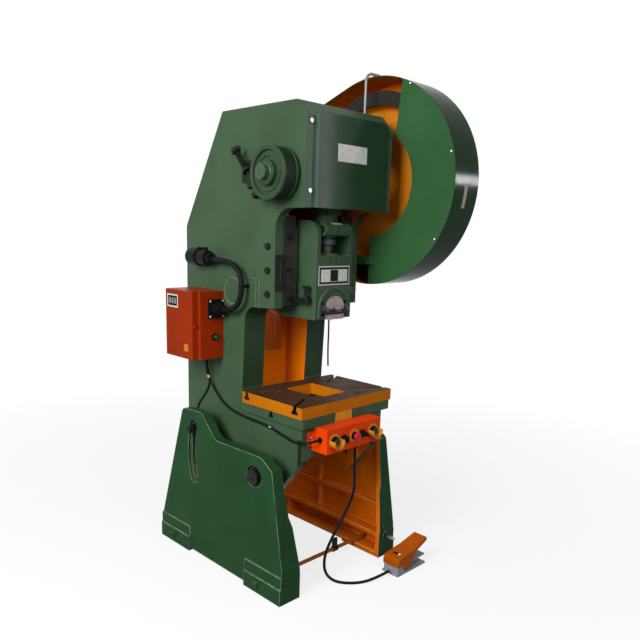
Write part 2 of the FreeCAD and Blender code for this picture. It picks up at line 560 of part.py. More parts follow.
# ---------------------------------------------------------------- ram and its guides
BALL_UP, BALL_RADIUS, SEAT_RADIUS = S.ball_height, S.ball_radius, S.seat_radius
slide_points = [
    (S.slide_front, S.slide_bottom, 5), (S.slide_front, S.slide_top, 56), (S.slide_back, S.slide_top),
    (S.slide_back, S.slide_bottom)]
slide_block = prism("slide_block", "X", slide_points, "-slide_width / 2", "slide_width")
tongue = box("slide_tongue", (f"2 * {tongue_half}", "tongue_back - tongue_front - 2 * run_gap",
                              "gib_high - gib_low - 60"),
             (f"-{tongue_half}", "tongue_front + run_gap", "gib_low + 6"))
slide_cuts = [
    box("slide_fork", ("slide_width - 46", "-190 - slide_front + 20", 300),
        ("-slide_width / 2 + 23", "slide_front - 20", "slide_lip")),
    rod("cap_seat", "Z", (0, "crank_back", "pocket_floor"), "cap_dia / 2 + 1", 400),
    rod("ball_bore", "Z", (0, "crank_back", BALL_UP - 56), SEAT_RADIUS + 0.05, 400),
    rod("shank_bore", "Z", (0, "crank_back", "slide_bottom - 10"), "shank_dia / 2", "shank_deep + 10"),
    prism("clamp_seat", "Y", [
        (-S.clamp_radius - S.face_gap, S.slide_bottom - 10), (S.clamp_radius + S.face_gap, S.slide_bottom - 10),
        (S.clamp_radius + S.face_gap, S.slide_bottom + 50 + S.clamp_radius, S.clamp_radius),
        (-S.clamp_radius - S.face_gap, S.slide_bottom + 50 + S.clamp_radius, S.clamp_radius)],
        "slide_front - 20", "crank_back - slide_front + 20"),
    box("ear_seat", (160, 28, 62), (-80, "slide_front - 10", 1180)),
]
for sign in (-1, 1):
    slide_cuts.append(rod(f"stud_hole_{sign + 1}", "Y", (sign * 62, "slide_front + 10", 1211), 8 + S.run_gap, 70))
arch = prism("slide_arch", "Y", [
    (-92, S.slide_bottom + 8), (92, S.slide_bottom + 8), (92, 1303, 90), (-92, 1303, 90)],
    "slide_front - 7", 9)
arch_hole = prism("slide_arch_hole", "Y", [
    (-80, S.slide_bottom - 8), (80, S.slide_bottom - 8), (80, 1291, 78), (-80, 1291, 78)],
    "slide_front - 20", 20)
slide_solid = fuse("slide_solid", [slide_block, tongue, cut("arch_rim", arch, [arch_hole])])
keep(cut("slide", slide_solid, slide_cuts), "slide")

clamp_points = [
    (-S.clamp_radius, S.slide_bottom), (S.clamp_radius, S.slide_bottom),
    (S.clamp_radius, S.slide_bottom + 49.7 + S.clamp_radius, S.clamp_radius - 0.3),
    (-S.clamp_radius, S.slide_bottom + 49.7 + S.clamp_radius, S.clamp_radius - 0.3)]
clamp_block = prism("clamp_block", "Y", clamp_points, "clamp_front", "crank_back - clamp_front - face_gap")
clamp_ears = box("clamp_ears", (156, 20, 34), (-78, "slide_front - 6", 1194))
clamp = cut("clamp_drilled", fuse("clamp_solid", [clamp_block, clamp_ears]), [
    rod("clamp_bore", "Z", (0, "crank_back", "slide_bottom - 10"), "shank_dia / 2", "shank_deep + 10"),
    rod("clamp_stud_way_0", "Y", (-62, "slide_front - 20", 1211), 8 + S.run_gap, 60),
    rod("clamp_stud_way_1", "Y", (62, "slide_front - 20", 1211), 8 + S.run_gap, 60),
    rod("clamp_screw_way", "Y", (0, "clamp_front - 10", 1211), 8 + S.run_gap, 60),
])
studs = [clamp]
for index, along in enumerate((-62, 62)):
    studs.append(fuse(f"clamp_stud_{index}", [
        rod(f"stud_{index}", "Y", (along, "slide_front - 30", 1211), 8, 96),
        hexagon(f"stud_nut_{index}", "Y", (along, "slide_front - 19.1", 1211), 24, 13)]))
studs.append(fuse("clamp_screw", [
    rod("clamp_screw_shank", "Y", (0, "clamp_front - 12", 1211), 8, 54),
    box("clamp_screw_head", (20, 16, 20), (-10, "clamp_front - 20", 1201))]))
keep(group("shank_clamp", studs), "shank_clamp")

keep(turned("adjusting_screw", "Z", [
    (BALL_UP - 36, 0), (BALL_UP - 36, 17), (BALL_UP - 24, 32), (BALL_UP, BALL_RADIUS, 30), (BALL_UP + 26, 27, 8),
    (BALL_UP + 72, 27), (BALL_UP + 78, S.screw_dia / 2), (S.ring_low, S.screw_dia / 2),
    (S.ring_low, S.ring_dia / 2 - 3),
    (S.ring_low + 3, S.ring_dia / 2), (S.ring_high - 3, S.ring_dia / 2), (S.ring_high, S.ring_dia / 2 - 3),
    (S.ring_high, S.screw_dia / 2), (S.clamp_high + 34, S.screw_dia / 2), (S.clamp_high + 38, S.screw_dia / 2 - 4),
    (S.clamp_high + 38, 0)],
    (0, "crank_back", 0)), "adjusting_screw")
seat = turned("seat", "Z", [
    (BALL_UP - 55.7, 0), (BALL_UP - 55.7, SEAT_RADIUS), (BALL_UP - 6, SEAT_RADIUS), (BALL_UP - 6, 40.3),
    (BALL_UP - 24.4, 33.2), (BALL_UP - 36.4, 17.6), (BALL_UP - 36.4, 0)], (0, "crank_back", 0))
cap = turned("cap", "Z", [
    (BALL_UP + 8, 41), (BALL_UP + 8, SEAT_RADIUS), (S.pocket_floor + 0.05, SEAT_RADIUS),
    (S.pocket_floor + 0.05, S.cap_dia / 2), (S.pocket_floor + 38, S.cap_dia / 2),
    (S.pocket_floor + 42, S.cap_dia / 2 - 4), (S.pocket_floor + 42, 33), (BALL_UP + 34, 30),
    (BALL_UP + 27, 30)], (0, "crank_back", 0))
keep(group("ball_socket", [seat, cap]), "ball_socket")

EYE_UP = S.crank_height + S.stroke / 2
PIN_R = S.pin_dia / 2
eye_high, eye_wide = PIN_R + 7.5, PIN_R + S.stroke / 2 + 0.6
eye = prism("rod_eye", "X", [
    (S.crank_back - eye_wide - S.eye_wall, EYE_UP - eye_high - S.eye_wall, 74),
    (S.crank_back + eye_wide + S.eye_wall, EYE_UP - eye_high - S.eye_wall, 74),
    (S.crank_back + eye_wide + S.eye_wall, EYE_UP + eye_high + S.eye_wall, 74),
    (S.crank_back - eye_wide - S.eye_wall, EYE_UP + eye_high + S.eye_wall, 74)],
    "-rod_thick / 2", "rod_thick")
eye_hole = prism("rod_eye_hole", "X", [
    (S.crank_back + along * eye_wide, EYE_UP + up * eye_high, eye_high - 0.5)
    for along, up in ((-1, -1), (1, -1), (1, 1), (-1, 1))],
    "-rod_thick / 2 - 10", "rod_thick + 20")
rod_solid = fuse("rod_solid", [
    eye,
    prism("rod_shank", "X", [
        (S.crank_back - 44, 1600), (S.crank_back + 44, 1600), (S.crank_back + 60, 1724), (S.crank_back - 60, 1724)],
        "-rod_thick / 2", "rod_thick"),
    rod("rod_barrel", "Z", (0, "crank_back", "clamp_low"), "rod_barrel_dia / 2", 130),
    rod("rod_clamp_boss", "X", (-76, -337, 1541), 27, 152),
    box("rod_clamp_bridge", (84, 60, 54), (-42, -338, 1514)),
])
keep(cut("connecting_rod", rod_solid, [
    eye_hole,
    rod("screw_bore", "Z", (0, "crank_back", "clamp_low - 10"), "screw_dia / 2 + run_gap", 116),
    box("rod_split", (5, 100, 90), (-2.5, -380, "clamp_low - 5")),
    rod("rod_bolt_way", "X", (-90, -337, 1541), 10 + S.run_gap, 180),
]), "connecting_rod")
keep(fuse("rod_clamp_bolt", [
    rod("rod_bolt_shank", "X", (-84, -337, 1541), 10, 168),
    hexagon("rod_bolt_head", "X", (76.1, -337, 1541), 30, 7.5),
    hexagon("rod_bolt_nut", "X", (-83.6, -337, 1541), 30, 7.5),
]), "rod_clamp_bolt")

gibs, gib_plates, gib_screws = [], [], []
for side, sign in (("left", -1), ("right", 1)):
    gib_at = f"-({tongue_half} + gib_thick)" if side == "left" else f"{tongue_half} + run_gap"
    gibs.append(box(f"{side}_gib", ("gib_thick - run_gap", "tongue_back - tongue_front - 2 * run_gap",
                                    "gib_high - gib_low"), (gib_at, "tongue_front + run_gap", "gib_low")))
    plate_at = f"-({tongue_half} + gib_thick + 24) + face_gap" if side == "left" else "slide_width / 2 + 29"
    plate = box(f"{side}_plate_blank", (f"{tongue_half} + gib_thick + 24 - slide_width / 2 - 29 - face_gap",
                                        "tongue_front - guide_front - run_gap", "gib_high - gib_low - 8"),
                (plate_at, "guide_front", "gib_low + 4"))
    screw_ways = []
    for index, (along, up) in enumerate(((sign * 172, 1505), (sign * 172, 1372), (sign * 172, 1250))):
        screw_ways.append(rod(f"{side}_plate_way_{index}", "Y", (along, "guide_front - 5", up), 6 + S.run_gap, 40))
        gib_screws.append(fuse(f"{side}_plate_screw_{index}", [
            rod(f"{side}_plate_shank_{index}", "Y", (along, "guide_front - 2", up), 6, 21),
            rod(f"{side}_plate_head_{index}", "Y", (along, "guide_front - 10.1", up), 9, 10)]))
    gib_plates.append(cut(f"{side}_gib_plate", plate, screw_ways))
keep(group("gibs", gibs), "gibs")
keep(group("gib_plates", gib_plates), "gib_plates")
for side in ("left", "right"):
    for index, up in enumerate(SET_SCREW_HEIGHTS):
        at = "-frame_width / 2 - 6" if side == "left" else f"{tongue_half} + gib_thick + face_gap"
        nut_at = "-frame_width / 2 - 12" if side == "left" else "frame_width / 2 + run_gap"
        length = f"frame_width / 2 + 6 - {tongue_half} - gib_thick - face_gap"
        gib_screws.append(fuse(f"{side}_set_{index}", [
            rod(f"{side}_set_screw_{index}", "X", (at, "set_screw_back", up), "set_screw_dia / 2", length),
            hexagon(f"{side}_set_nut_{index}", "X", (nut_at, "set_screw_back", up), 24,
                    "12 - run_gap")]))
keep(group("gib_screws", gib_screws), "gib_screws")

stops = []
for side, sign in (("left", -1), ("right", 1)):
    low = -152 if side == "left" else 116
    stops.append(fuse(f"{side}_stop", [
        box(f"{side}_stop_arm", (36, 80, 18), (low, -324.1, 1238)),
        rod(f"{side}_stop_bolt", "Z", (sign * 134, -310, 1246), 8, 52),
        box(f"{side}_stop_head", (22, 22, 14), (sign * 134 - 11, -321, 1296)),
        hexagon(f"{side}_stop_nut", "Z", (sign * 134, -310, 1256), 24, 12)]))
keep(group("knockout_stops", stops), "knockout_stops")
scale = box("scale_blank", (58, 6, 146), (-249, "guide_front - 6.1", 1288))
keep(fuse("height_scale", [
    cut("scale_slotted", scale, [
        prism("scale_slot", "Y", [(-226, 1310, 6), (-212, 1310, 6), (-212, 1412, 6), (-226, 1412, 6)],
              "guide_front - 20", 30)]),
    rod("scale_screw_low", "Y", (-240, "guide_front - 10", 1298), 5, 6),
    rod("scale_screw_high", "Y", (-240, "guide_front - 10", 1424), 5, 6)]), "height_scale")

# ---------------------------------------------------------------- crank, brake and flywheel
JOURNAL = S.journal_dia / 2
crank_in = S.rod_thick / 2 + 2
crank_out = crank_in + S.crank_cheek
FLY_RIGHT = S.flywheel_left + S.rim_width
crank_line = turned("crank_line", "X", [
    (-372, 0), (-372, 27), (-369, 30), (-346, 30), (-344, 35), (-252, 35), (-252, JOURNAL), (-crank_out + 4, JOURNAL),
    (-crank_out, S.web_radius - 4),
    (-crank_out + 4, S.web_radius), (-crank_in, S.web_radius), (-crank_in, 0)], (0, "crank_back", "crank_height"))
crank_far = turned("crank_far", "X", [
    (crank_in, 0), (crank_in, S.web_radius), (crank_out - 4, S.web_radius), (crank_out, S.web_radius - 4),
    (crank_out - 4, JOURNAL), (278, JOURNAL), (278, 40), (FLY_RIGHT + 6, 40), (FLY_RIGHT + 6, 26), (436, 26),
    (436, 0)],
    (0, "crank_back", "crank_height"))
crank_pin = rod("crank_pin", "X", (-crank_in - 2, "crank_back", "crank_height + stroke / 2"), "pin_dia / 2",
                2 * crank_in + 4)
crank_solid = fuse("crank_solid", [crank_line, crank_far, crank_pin])
end_nut = cut("end_nut", hexagon("end_nut_blank", "X", (FLY_RIGHT + 6.1, "crank_back", "crank_height"), 75, 13), [
    rod("end_nut_bore", "X", (FLY_RIGHT, "crank_back", "crank_height"), 26 + S.run_gap, 30)])
keep(group("crankshaft", [crank_solid, end_nut]), "crankshaft")
bushes = []
for side, at in (("left", "-frame_width / 2 - 1.5"), ("right", "frame_width / 2 - boss_length")):
    outer = rod(f"{side}_bush_blank", "X", (at, "crank_back", "crank_height"), "journal_dia / 2 + bush_wall - run_gap",
                "boss_length + 1.5")
    inner = rod(f"{side}_bush_bore", "X", (at, "crank_back", "crank_height"), "journal_dia / 2 + run_gap",
                "boss_length + 1.5")
    bushes.append(cut(f"{side}_bush", outer, [inner]))
keep(group("crank_bushes", bushes), "crank_bushes")
DRUM = S.drum_dia / 2
GROOVE = DRUM - S.band_thick - S.lining_thick - 1.2
keep(turned("brake_drum", "X", [
    (S.drum_left - 9, 35.05), (S.drum_left - 9, 47, 3), (S.drum_left + S.drum_deep, 49),
    (S.drum_left + S.drum_deep, 62), (S.drum_left + S.drum_deep - 5, 63), (S.drum_left + S.drum_deep - 5, 68),
    (S.drum_left + S.drum_deep, 69), (S.drum_left + S.drum_deep, 82, 4), (S.drum_left, 86),
    (S.drum_left, DRUM, 3), (S.drum_left + 10, DRUM), (S.drum_left + 10, GROOVE),
    (S.drum_right - 10, GROOVE), (S.drum_right - 10, DRUM), (S.drum_right, DRUM), (S.drum_right, 35.05)],
    (0, "crank_back", "crank_height")), "brake_drum")
BAND_LEFT, BAND_SPAN = S.drum_left + 11, S.drum_right - S.drum_left - 22


def ring(name, low, high, left, span, gap_from, gap_to):
    """A split ring round the crank axis, open between two angles."""
    blank = cut(name + "_ring", rod(name + "_out", "X", (left, "crank_back", "crank_height"), high, span),
                [rod(name + "_in", "X", (left - 5, "crank_back", "crank_height"), low, span + 10)])
    reach = high * 1.6
    wedge = prism(name + "_gap", "X", [
        (S.crank_back, S.crank_height)] + [
        (S.crank_back + reach * math.cos(math.radians(a)), S.crank_height + reach * math.sin(math.radians(a)))
        for a in (gap_from, gap_to)], left - 5, span + 10)
    return cut(name + "_split", blank, [wedge])


lining_in = GROOVE + 0.3
lining_out = lining_in + S.lining_thick
band_out = lining_out + S.band_thick - 1
keep(ring("brake_lining", lining_in, lining_out, BAND_LEFT, BAND_SPAN, -38, -23), "brake_lining")
band = ring("band", lining_out + 0.05, band_out, BAND_LEFT, BAND_SPAN, -36, -25)
rod_way = Vector(0, 0.655, 0.756)
rod_foot = Vector(-299, -176, 1701)
turn_to_rod = Rotation(Z_AXIS, rod_way)


def along_rod(name, start, radius, length, sides=0):
    """A round or six-sided piece on the brake rod's line."""
    thing = DOC.addObject("Part::Prism" if sides else "Part::Cylinder", name)
    if sides:
        thing.Polygon = sides
        put(thing, "Circumradius", radius)
    else:
        put(thing, "Radius", radius)
    put(thing, "Height", length)
    thing.Placement = Placement(rod_foot + rod_way * start, turn_to_rod)
    return thing




def crank_wedge(name, low, high, inner, outer, at, length):
    """A block between two angles and two radii about the crank axis."""
    spots = [(r, math.radians(a)) for r, a in ((inner, low), (outer, low), (outer, high), (inner, high))]
    return prism(name, "X", [(S.crank_back + r * math.cos(a), S.crank_height + r * math.sin(a))
                             for r, a in spots], at, length)


free_ear = crank_wedge("free_ear", -46, -36.1, band_out - 3, 134, BAND_LEFT, BAND_SPAN)
fixed_ear = crank_wedge("fixed_ear", -24.9, -15, band_out - 3, 140, BAND_LEFT, BAND_SPAN)
anchor_leg = crank_wedge("anchor_leg", -24.9, -15, DRUM + 6, 138, -290, 290 - WALL_OUT - S.run_gap)
keep(cut("brake_band", fuse("band_solid", [free_ear, fixed_ear, anchor_leg, band]), [
    along_rod("band_rod_way", -70, 6.6, 120)]), "brake_band")
keep(fuse("brake_rod", [
    along_rod("brake_stud", -62, 6, 264), along_rod("brake_low_nut", -58, 11, 9, 6),
    along_rod("brake_knob", 186, 15, 12, 6), along_rod("brake_washer", 181, 15, 5)]), "brake_rod")
bracket_lug = along_rod("bracket_lug", 78, 20, 9)
bracket_foot = box("bracket_foot", (10, 76, 92), (-260.05, -138, 1716))
bracket_arm = prism("bracket_arm", "X", [
    (-136, 1718), (-84, 1718), (-84, 1752), (-112, 1782), (-136, 1770)], -296, 37)
keep(cut("brake_bracket", fuse("bracket_solid", [bracket_lug, bracket_foot, bracket_arm]), [
    along_rod("bracket_rod_way", 20, 6.6, 120), along_rod("bracket_spring_way", 88, 16, 60)]), "brake_bracket")


def coil(label, start, length, radius, wire, turns):
    """A spring on the brake rod's line."""
    helix = Part.makeHelix(length / turns, length, radius)
    section = Part.Wire(Part.Circle(Vector(radius, 0, 0), Vector(0, 1, 0), wire / 2).toShape())
    shape = Part.Wire(helix).makePipeShell([section], True, True)
    thing = DOC.addObject("Part::Feature", label)
    thing.Shape = shape
    thing.Placement = Placement(rod_foot + rod_way * start, turn_to_rod)
    return thing


keep(coil("brake_spring", 89.6, 89, 10.5, 3.4, 11), "brake_spring")

FLY = S.flywheel_dia / 2
first_groove = S.flywheel_left + (S.rim_width - (S.groove_count - 1) * S.groove_pitch) / 2


def grooved(left, right, rim):
    """The rim's outer line with its belt grooves, from left to right."""
    points = [(left, rim)]
    for index in range(S.groove_count):
        middle = first_groove + index * S.groove_pitch
        points += [(middle - 9.4, rim), (middle - 6.2, rim - 14), (middle + 6.2, rim - 14), (middle + 9.4, rim)]
    points.append((right, rim))
    return points


web_left, web_right = S.flywheel_left + 52, S.flywheel_left + 78
keep(turned("flywheel", "X", [
    (S.flywheel_left + 6, 40.05), (S.flywheel_left + 6, 84), (web_left, 92, 14), (web_left, FLY - S.rim_thick - 8, 14),
    (S.flywheel_left, FLY - S.rim_thick)] + grooved(S.flywheel_left, FLY_RIGHT, FLY) + [
    (FLY_RIGHT, FLY - S.rim_thick), (web_right, FLY - S.rim_thick - 8, 14), (web_right, 92, 14), (FLY_RIGHT, 84),
    (FLY_RIGHT, 40.05)], (0, "crank_back", "crank_height")), "flywheel")
PULLEY = S.pulley_dia / 2
pulley = turned("pulley", "X", [
    (S.flywheel_left, 14.05), (S.flywheel_left, PULLEY - 2)] + grooved(S.flywheel_left, FLY_RIGHT, PULLEY)[1:-1] + [
    (FLY_RIGHT, PULLEY), (FLY_RIGHT, 14.05)], (0, "motor_back", "motor_height"))
motor_shaft = rod("motor_shaft", "X", (240.3, "motor_back", "motor_height"), 14, f"{FLY_RIGHT} - 236")
keep(group("motor_pulley", [pulley, motor_shaft]), "motor_pulley")


def loop(big, small):
    """The line round the flywheel's and the motor's circles."""
    c1, c2 = Vector(S.crank_back, S.crank_height, 0), Vector(S.motor_back, S.motor_height, 0)
    line = c2 - c1
    base = math.atan2(line.y, line.x)
    lean = math.acos((big - small) / line.Length)

    def spot(centre, radius, angle):
        return centre + Vector(math.cos(angle), math.sin(angle), 0) * radius

    up, down = base + lean, base - lean
    return [
        Part.LineSegment(spot(c1, big, up), spot(c2, small, up)),
        Part.Arc(spot(c2, small, up), spot(c2, small, base), spot(c2, small, down)),
        Part.LineSegment(spot(c2, small, down), spot(c1, big, down)),
        Part.Arc(spot(c1, big, down), spot(c1, big, base + math.pi), spot(c1, big, up)),
    ]


def standing(curve, along):
    """A curve drawn in (Y, Z), set up across the press."""
    shape = curve.toShape()
    shape.transformShape(FreeCAD.Matrix(0, 0, 1, along, 1, 0, 0, 0, 0, 1, 0, 0, 0, 0, 0, 1))
    return shape


belts = []
belt_low = 12.4
for index in range(S.groove_count):
    middle = first_groove + index * S.groove_pitch
    path = Part.Wire([standing(piece, middle) for piece in loop(FLY - belt_low, PULLEY - belt_low)])
    start = path.Edges[0].valueAt(path.Edges[0].FirstParameter)
    way = path.Edges[0].tangentAt(path.Edges[0].FirstParameter)
    up = Vector(1, 0, 0).cross(way)
    if up.z < 0:
        up = up * -1
    foot, top = S.belt_foot / 2, S.belt_top / 2
    corners = [start + Vector(w, 0, 0) + up * r for w, r in (
        (-foot, 0), (foot, 0), (top, S.belt_thick), (-top, S.belt_thick), (-foot, 0))]
    belt = DOC.addObject("Part::Feature", f"belt_{index}")
    belt.Shape = path.makePipeShell([Part.makePolygon(corners)], True, False)
    belts.append(belt)
keep(group("v_belts", belts), "v_belts")

# ---------------------------------------------------------------- guard
guard_out = prism("guard_out", "X", loop(S.guard_radius, S.guard_rear_radius), "guard_left", "guard_depth")
guard_in = prism("guard_in", "X", loop(S.guard_radius - S.guard_sheet, S.guard_rear_radius - S.guard_sheet),
                 "guard_left + guard_sheet", "guard_depth - 2 * guard_sheet")
cut_r = S.cut_radius


def cut_spot(angle):
    a = math.radians(angle)
    return Vector(S.crank_back + cut_r * math.cos(a), S.crank_height + cut_r * math.sin(a), 0)


top_cut, low_cut = cut_spot(124), cut_spot(267)
clear_up, clear_down = S.crank_height + S.guard_radius + 66, S.crank_height - S.guard_radius - 42
clear_back = S.motor_back + S.guard_rear_radius + 193
corner_front, corner_top = Vector(S.crank_back - 165, clear_up, 0), Vector(clear_back, clear_up, 0)
corner_low, corner_under = Vector(clear_back, clear_down, 0), Vector(low_cut.x, clear_down, 0)
open_side = prism("guard_open_side", "X", [
    Part.LineSegment(corner_front, top_cut), Part.Arc(top_cut, cut_spot(195), low_cut),
    Part.LineSegment(low_cut, corner_under), Part.LineSegment(corner_under, corner_low),
    Part.LineSegment(corner_low, corner_top), Part.LineSegment(corner_top, corner_front)],
    "guard_left - 10", "guard_sheet + 10")
rim_band_out = prism("rim_band_out", "X", loop(S.guard_radius, S.guard_rear_radius), "guard_left", 14)
rim_band = cut("guard_rim_band", rim_band_out, [
    prism("rim_band_in", "X", loop(S.guard_radius - S.guard_sheet, S.guard_rear_radius - S.guard_sheet),
          "guard_left - 10", 40)])
rim_under = "crank_height - sqrt(guard_radius ^ 2 - (55 - crank_back) ^ 2)"
guard_arm_low = box("guard_arm_low", (20, 200, 34), ("frame_width / 2 + run_gap", -334, 1392))
guard_arm_front = cut("guard_arm_front", guard_arm_low, [
    box("guard_arm_room", (14, 120, 60), ("frame_width / 2 + 8", -290, 1380))])
guard_arm_back = box("guard_arm_back", (24, 70, 40), ("frame_width / 2 + run_gap", 20, f"{rim_under} - 20"))
keep(fuse("belt_guard", [cut("guard_shell", guard_out, [guard_in, open_side]), rim_band, guard_arm_front,
                         guard_arm_back]), "belt_guard")
stay_points = [(220, -282, 2018.1), (220, -282, 2200.3), (300, -286, 2200.3)]
spine, stay_radii = route(stay_points)
stay = DOC.addObject("Part::Feature", "stay_bar")
stay_section = Part.Wire(Part.Circle(Vector(*stay_points[0]), Z_AXIS, 6).toShape())
stay.Shape = spine.makePipeShell([stay_section], True, False)
keep(fuse("guard_stay", [stay, hexagon("stay_nut", "Z", (220, -282, 2018.1), 19, 10)]), "guard_stay")

# ---------------------------------------------------------------- motor
SLOPE_TOP, SLOPE_END = Vector(0, 106, S.frame_top), Vector(0, S.frame_back, 1540)
down_slope = (SLOPE_END - SLOPE_TOP).normalize()
off_slope = Vector(0, -down_slope.z, down_slope.y)
motor_reach = off_slope.dot(Vector(0, S.motor_back, S.motor_height) - SLOPE_TOP)
motor_along = down_slope.dot(Vector(0, S.motor_back, S.motor_height) - SLOPE_TOP)
feet_low = motor_reach - S.motor_radius - 4


def slope_spot(along, off):
    spot = SLOPE_TOP + down_slope * along + off_slope * off
    return (spot.y, spot.z)


def slope_block(name, x_low, x_span, along, off_low, off_high, half):
    return prism(name, "X", [
        slope_spot(along - half, off_low), slope_spot(along + half, off_low),
        slope_spot(along + half, off_high), slope_spot(along - half, off_high)], x_low, x_span)


keep(fuse("motor", [
    turned("motor_body", "X", [
        (-22, 0), (-22, S.motor_radius - 16, 8), (-14, S.motor_radius), (30, S.motor_radius), (30, S.motor_radius - 6),
        (206, S.motor_radius - 6), (206, S.motor_radius), (222, S.motor_radius, 4), (232, 60), (240, 44), (240, 0)],
        (0, "motor_back", "motor_height")),
    slope_block("motor_feet", 44, 150, motor_along, feet_low, feet_low + 14, 92),
    slope_block("motor_saddle", 54, 130, motor_along, feet_low + 1, feet_low + 60, 52),
    box("terminal_box", (96, 40, 80), (66, S.motor_back + 70, S.motor_height - 20)),
]), "motor")
bracket_bits = [slope_block("bracket_plate", 20, 198, motor_along, feet_low - 14, feet_low - 0.1, 150)]
for index, (along, side) in enumerate(((-1, 30), (-1, 188), (1, 30), (1, 188))):
    bracket_bits.append(slope_block(f"bracket_stand_{index}", side, 22, motor_along + along * 128, 0.05,
                                    feet_low - 13, 11))
keep(fuse("motor_bracket", bracket_bits), "motor_bracket")

# ---------------------------------------------------------------- head cover
half = S.cover_half
cover_face = [(-half, S.head_bottom + 1, 4), (half, S.head_bottom + 1, 4), (half, S.cover_top, 38),
              (-half, S.cover_top, 12)]
cover_solid = fuse("cover_solid", [
    prism("cover_box", "Y", cover_face, "head_front - cover_deep - 0.1", "cover_deep"),
    box("cover_flange", ("frame_width - 6", "cover_sheet", "1957 - head_bottom - 2"),
        ("-frame_width / 2 + 3", "head_front - cover_sheet - 0.1", "head_bottom + 2"))])
cover_cuts = [prism("cover_hollow", "Y", [
    (-half + 3, S.head_bottom + 4), (half - 3, S.head_bottom + 4), (half - 3, 1950, 10), (-half + 3, 1950, 10)],
    "head_front - cover_deep + cover_sheet", "cover_deep")]
screws = []
for index, (along, up) in enumerate(((-236, 1937), (236, 1937), (-236, 1684), (236, 1684))):
    cover_cuts.append(rod(f"cover_way_{index}", "Y", (along, "head_front - 10", up), 5 + S.run_gap, 20))
    screws.append(fuse(f"cover_screw_{index}", [
        rod(f"cover_shank_{index}", "Y", (along, "head_front - 6", up), 5, 5.9),
        hexagon(f"cover_hex_{index}", "Y", (along, "head_front - 10", up), 16, 6.8)]))
keep(cut("head_cover", cover_solid, cover_cuts), "head_cover")
keep(group("cover_screws", screws), "cover_screws")

# ---------------------------------------------------------------- control box
box_deep = "-frame_width / 2 - run_gap - box_out"
shell = cut("box_shell_blank", box("box_outer", (box_deep, "box_back - box_front", "box_high - box_low"),
                                   ("box_out", "box_front", "box_low")), [
    box("box_inner", (f"{box_deep} + 5", "box_back - box_front - 2 * box_sheet", "box_high - box_low - 2 * box_sheet"),
        ("box_out - box_sheet - 5", "box_front + box_sheet", "box_low + box_sheet")),
    rod("socket_hole", "Y", (-292, "box_front - 10", "socket_height"), 30, 20),
    rod("start_hole", "Y", (-299, "box_front - 10", 1057), 11.1, 20),
    rod("gland_hole", "Z", (-290, 176, "box_low - 10"), 9.1, 20),
    rod("branch_hole", "Z", (-262, 210, "box_low - 10"), 6.1, 20)])
knuckles = fuse("box_knuckles", [
    rod("knuckle_low", "Z", ("box_out - 2", "box_back + 5", 1020), 5, 24),
    rod("knuckle_high", "Z", ("box_out - 2", "box_back + 5", 1180), 5, 24),
    box("knuckle_tab_low", (16, 4, 24), ("box_out", "box_back", 1020)),
    box("knuckle_tab_high", (16, 4, 24), ("box_out", "box_back", 1180))])
hinge_pin = rod("door_hinge_pin", "Z", ("box_out - 2", "box_back + 5", 1016), 2.5, 192)
mouth_lip = box("mouth_lip", ("box_sheet", 20, "box_high - box_low"), ("box_out", "box_front", "box_low"))
keep(fuse("control_box", [shell, mouth_lip, knuckles, hinge_pin]), "control_box")
door_blank = cut("door_blank", box("door_outer", ("door_deep", "box_back - box_front - 18", "box_high - box_low"),
                                   ("box_out - door_deep - 1", "box_front + 18", "box_low")), [
    box("door_inner", ("door_deep", "box_back - box_front - 22", "box_high - box_low - 4"),
        ("box_out - door_deep + 1", "box_front + 20", "box_low + 2"))])
door_knuckles = [
    rod("door_knuckle_low", "Z", ("box_out - 2", "box_back + 5", 1044.5), 5, 24),
    rod("door_knuckle_high", "Z", ("box_out - 2", "box_back + 5", 1155), 5, 24),
    box("door_tab_low", (6, 9, 24), ("box_out - 8", "box_back - 2", 1044.5)),
    box("door_tab_high", (6, 9, 24), ("box_out - 8", "box_back - 2", 1155))]
lock_cam = rod("lock_cam", "Y", ("box_out - 15", "box_front + 10", 1108), 7, 8)
keep(cut("control_door", fuse("door_solid", [door_blank] + door_knuckles + [lock_cam]), [
    rod("door_hinge_way", "Z", ("box_out - 2", "box_back + 5", 1000), 2.55, 230)]), "control_door")
keep(fuse("contactor_panel", [
    box("panel_plate", (3, 180, 260), (-261, 122, 980)), box("contactor", (70, 46, 80), (-330, 142, 1130)),
    box("overload", (60, 46, 60), (-320, 142, 1066)), box("transformer", (74, 70, 84), (-334, 222, 1000)),
    box("fuse_row", (60, 80, 70), (-320, 214, 1160)),
    box("panel_post_low", (7, 20, 20), (-259.1, 200, 1000)), box("panel_post_high", (7, 20, 20), (-259.1, 200, 1200)),
]), "contactor_panel")
keep(fuse("box_socket", [
    box("socket_flange", ("socket_size", 7, "socket_size"), ("-292 - socket_size / 2", "box_front - 7.1",
                                                             "socket_height - socket_size / 2")),
    rod("socket_barrel", "Y", (-292, "box_front - 34", "socket_height"), 29, 60),
    rod("socket_plug", "Y", (-292, 52, "socket_height"), 25, 20),
    rod("socket_gland", "Y", (-292, 45, "socket_height"), "conduit_dia / 2 + 3", 12)]), "box_socket")
bezels = [cut("start_bezel", fuse("start_bezel_solid", [
    rod("start_ring", "Y", (-299, "box_front - 8", 1057), 16, 7.9),
    rod("start_barrel", "Y", (-299, "box_front - 4", 1057), 11, 40)]), [
    rod("start_bore", "Y", (-299, "box_front - 10", 1057), 9.05, 26)])]
keep(rod("start_button", "Y", (-299, "box_front - 12", 1057), 9, 22), "start_button")
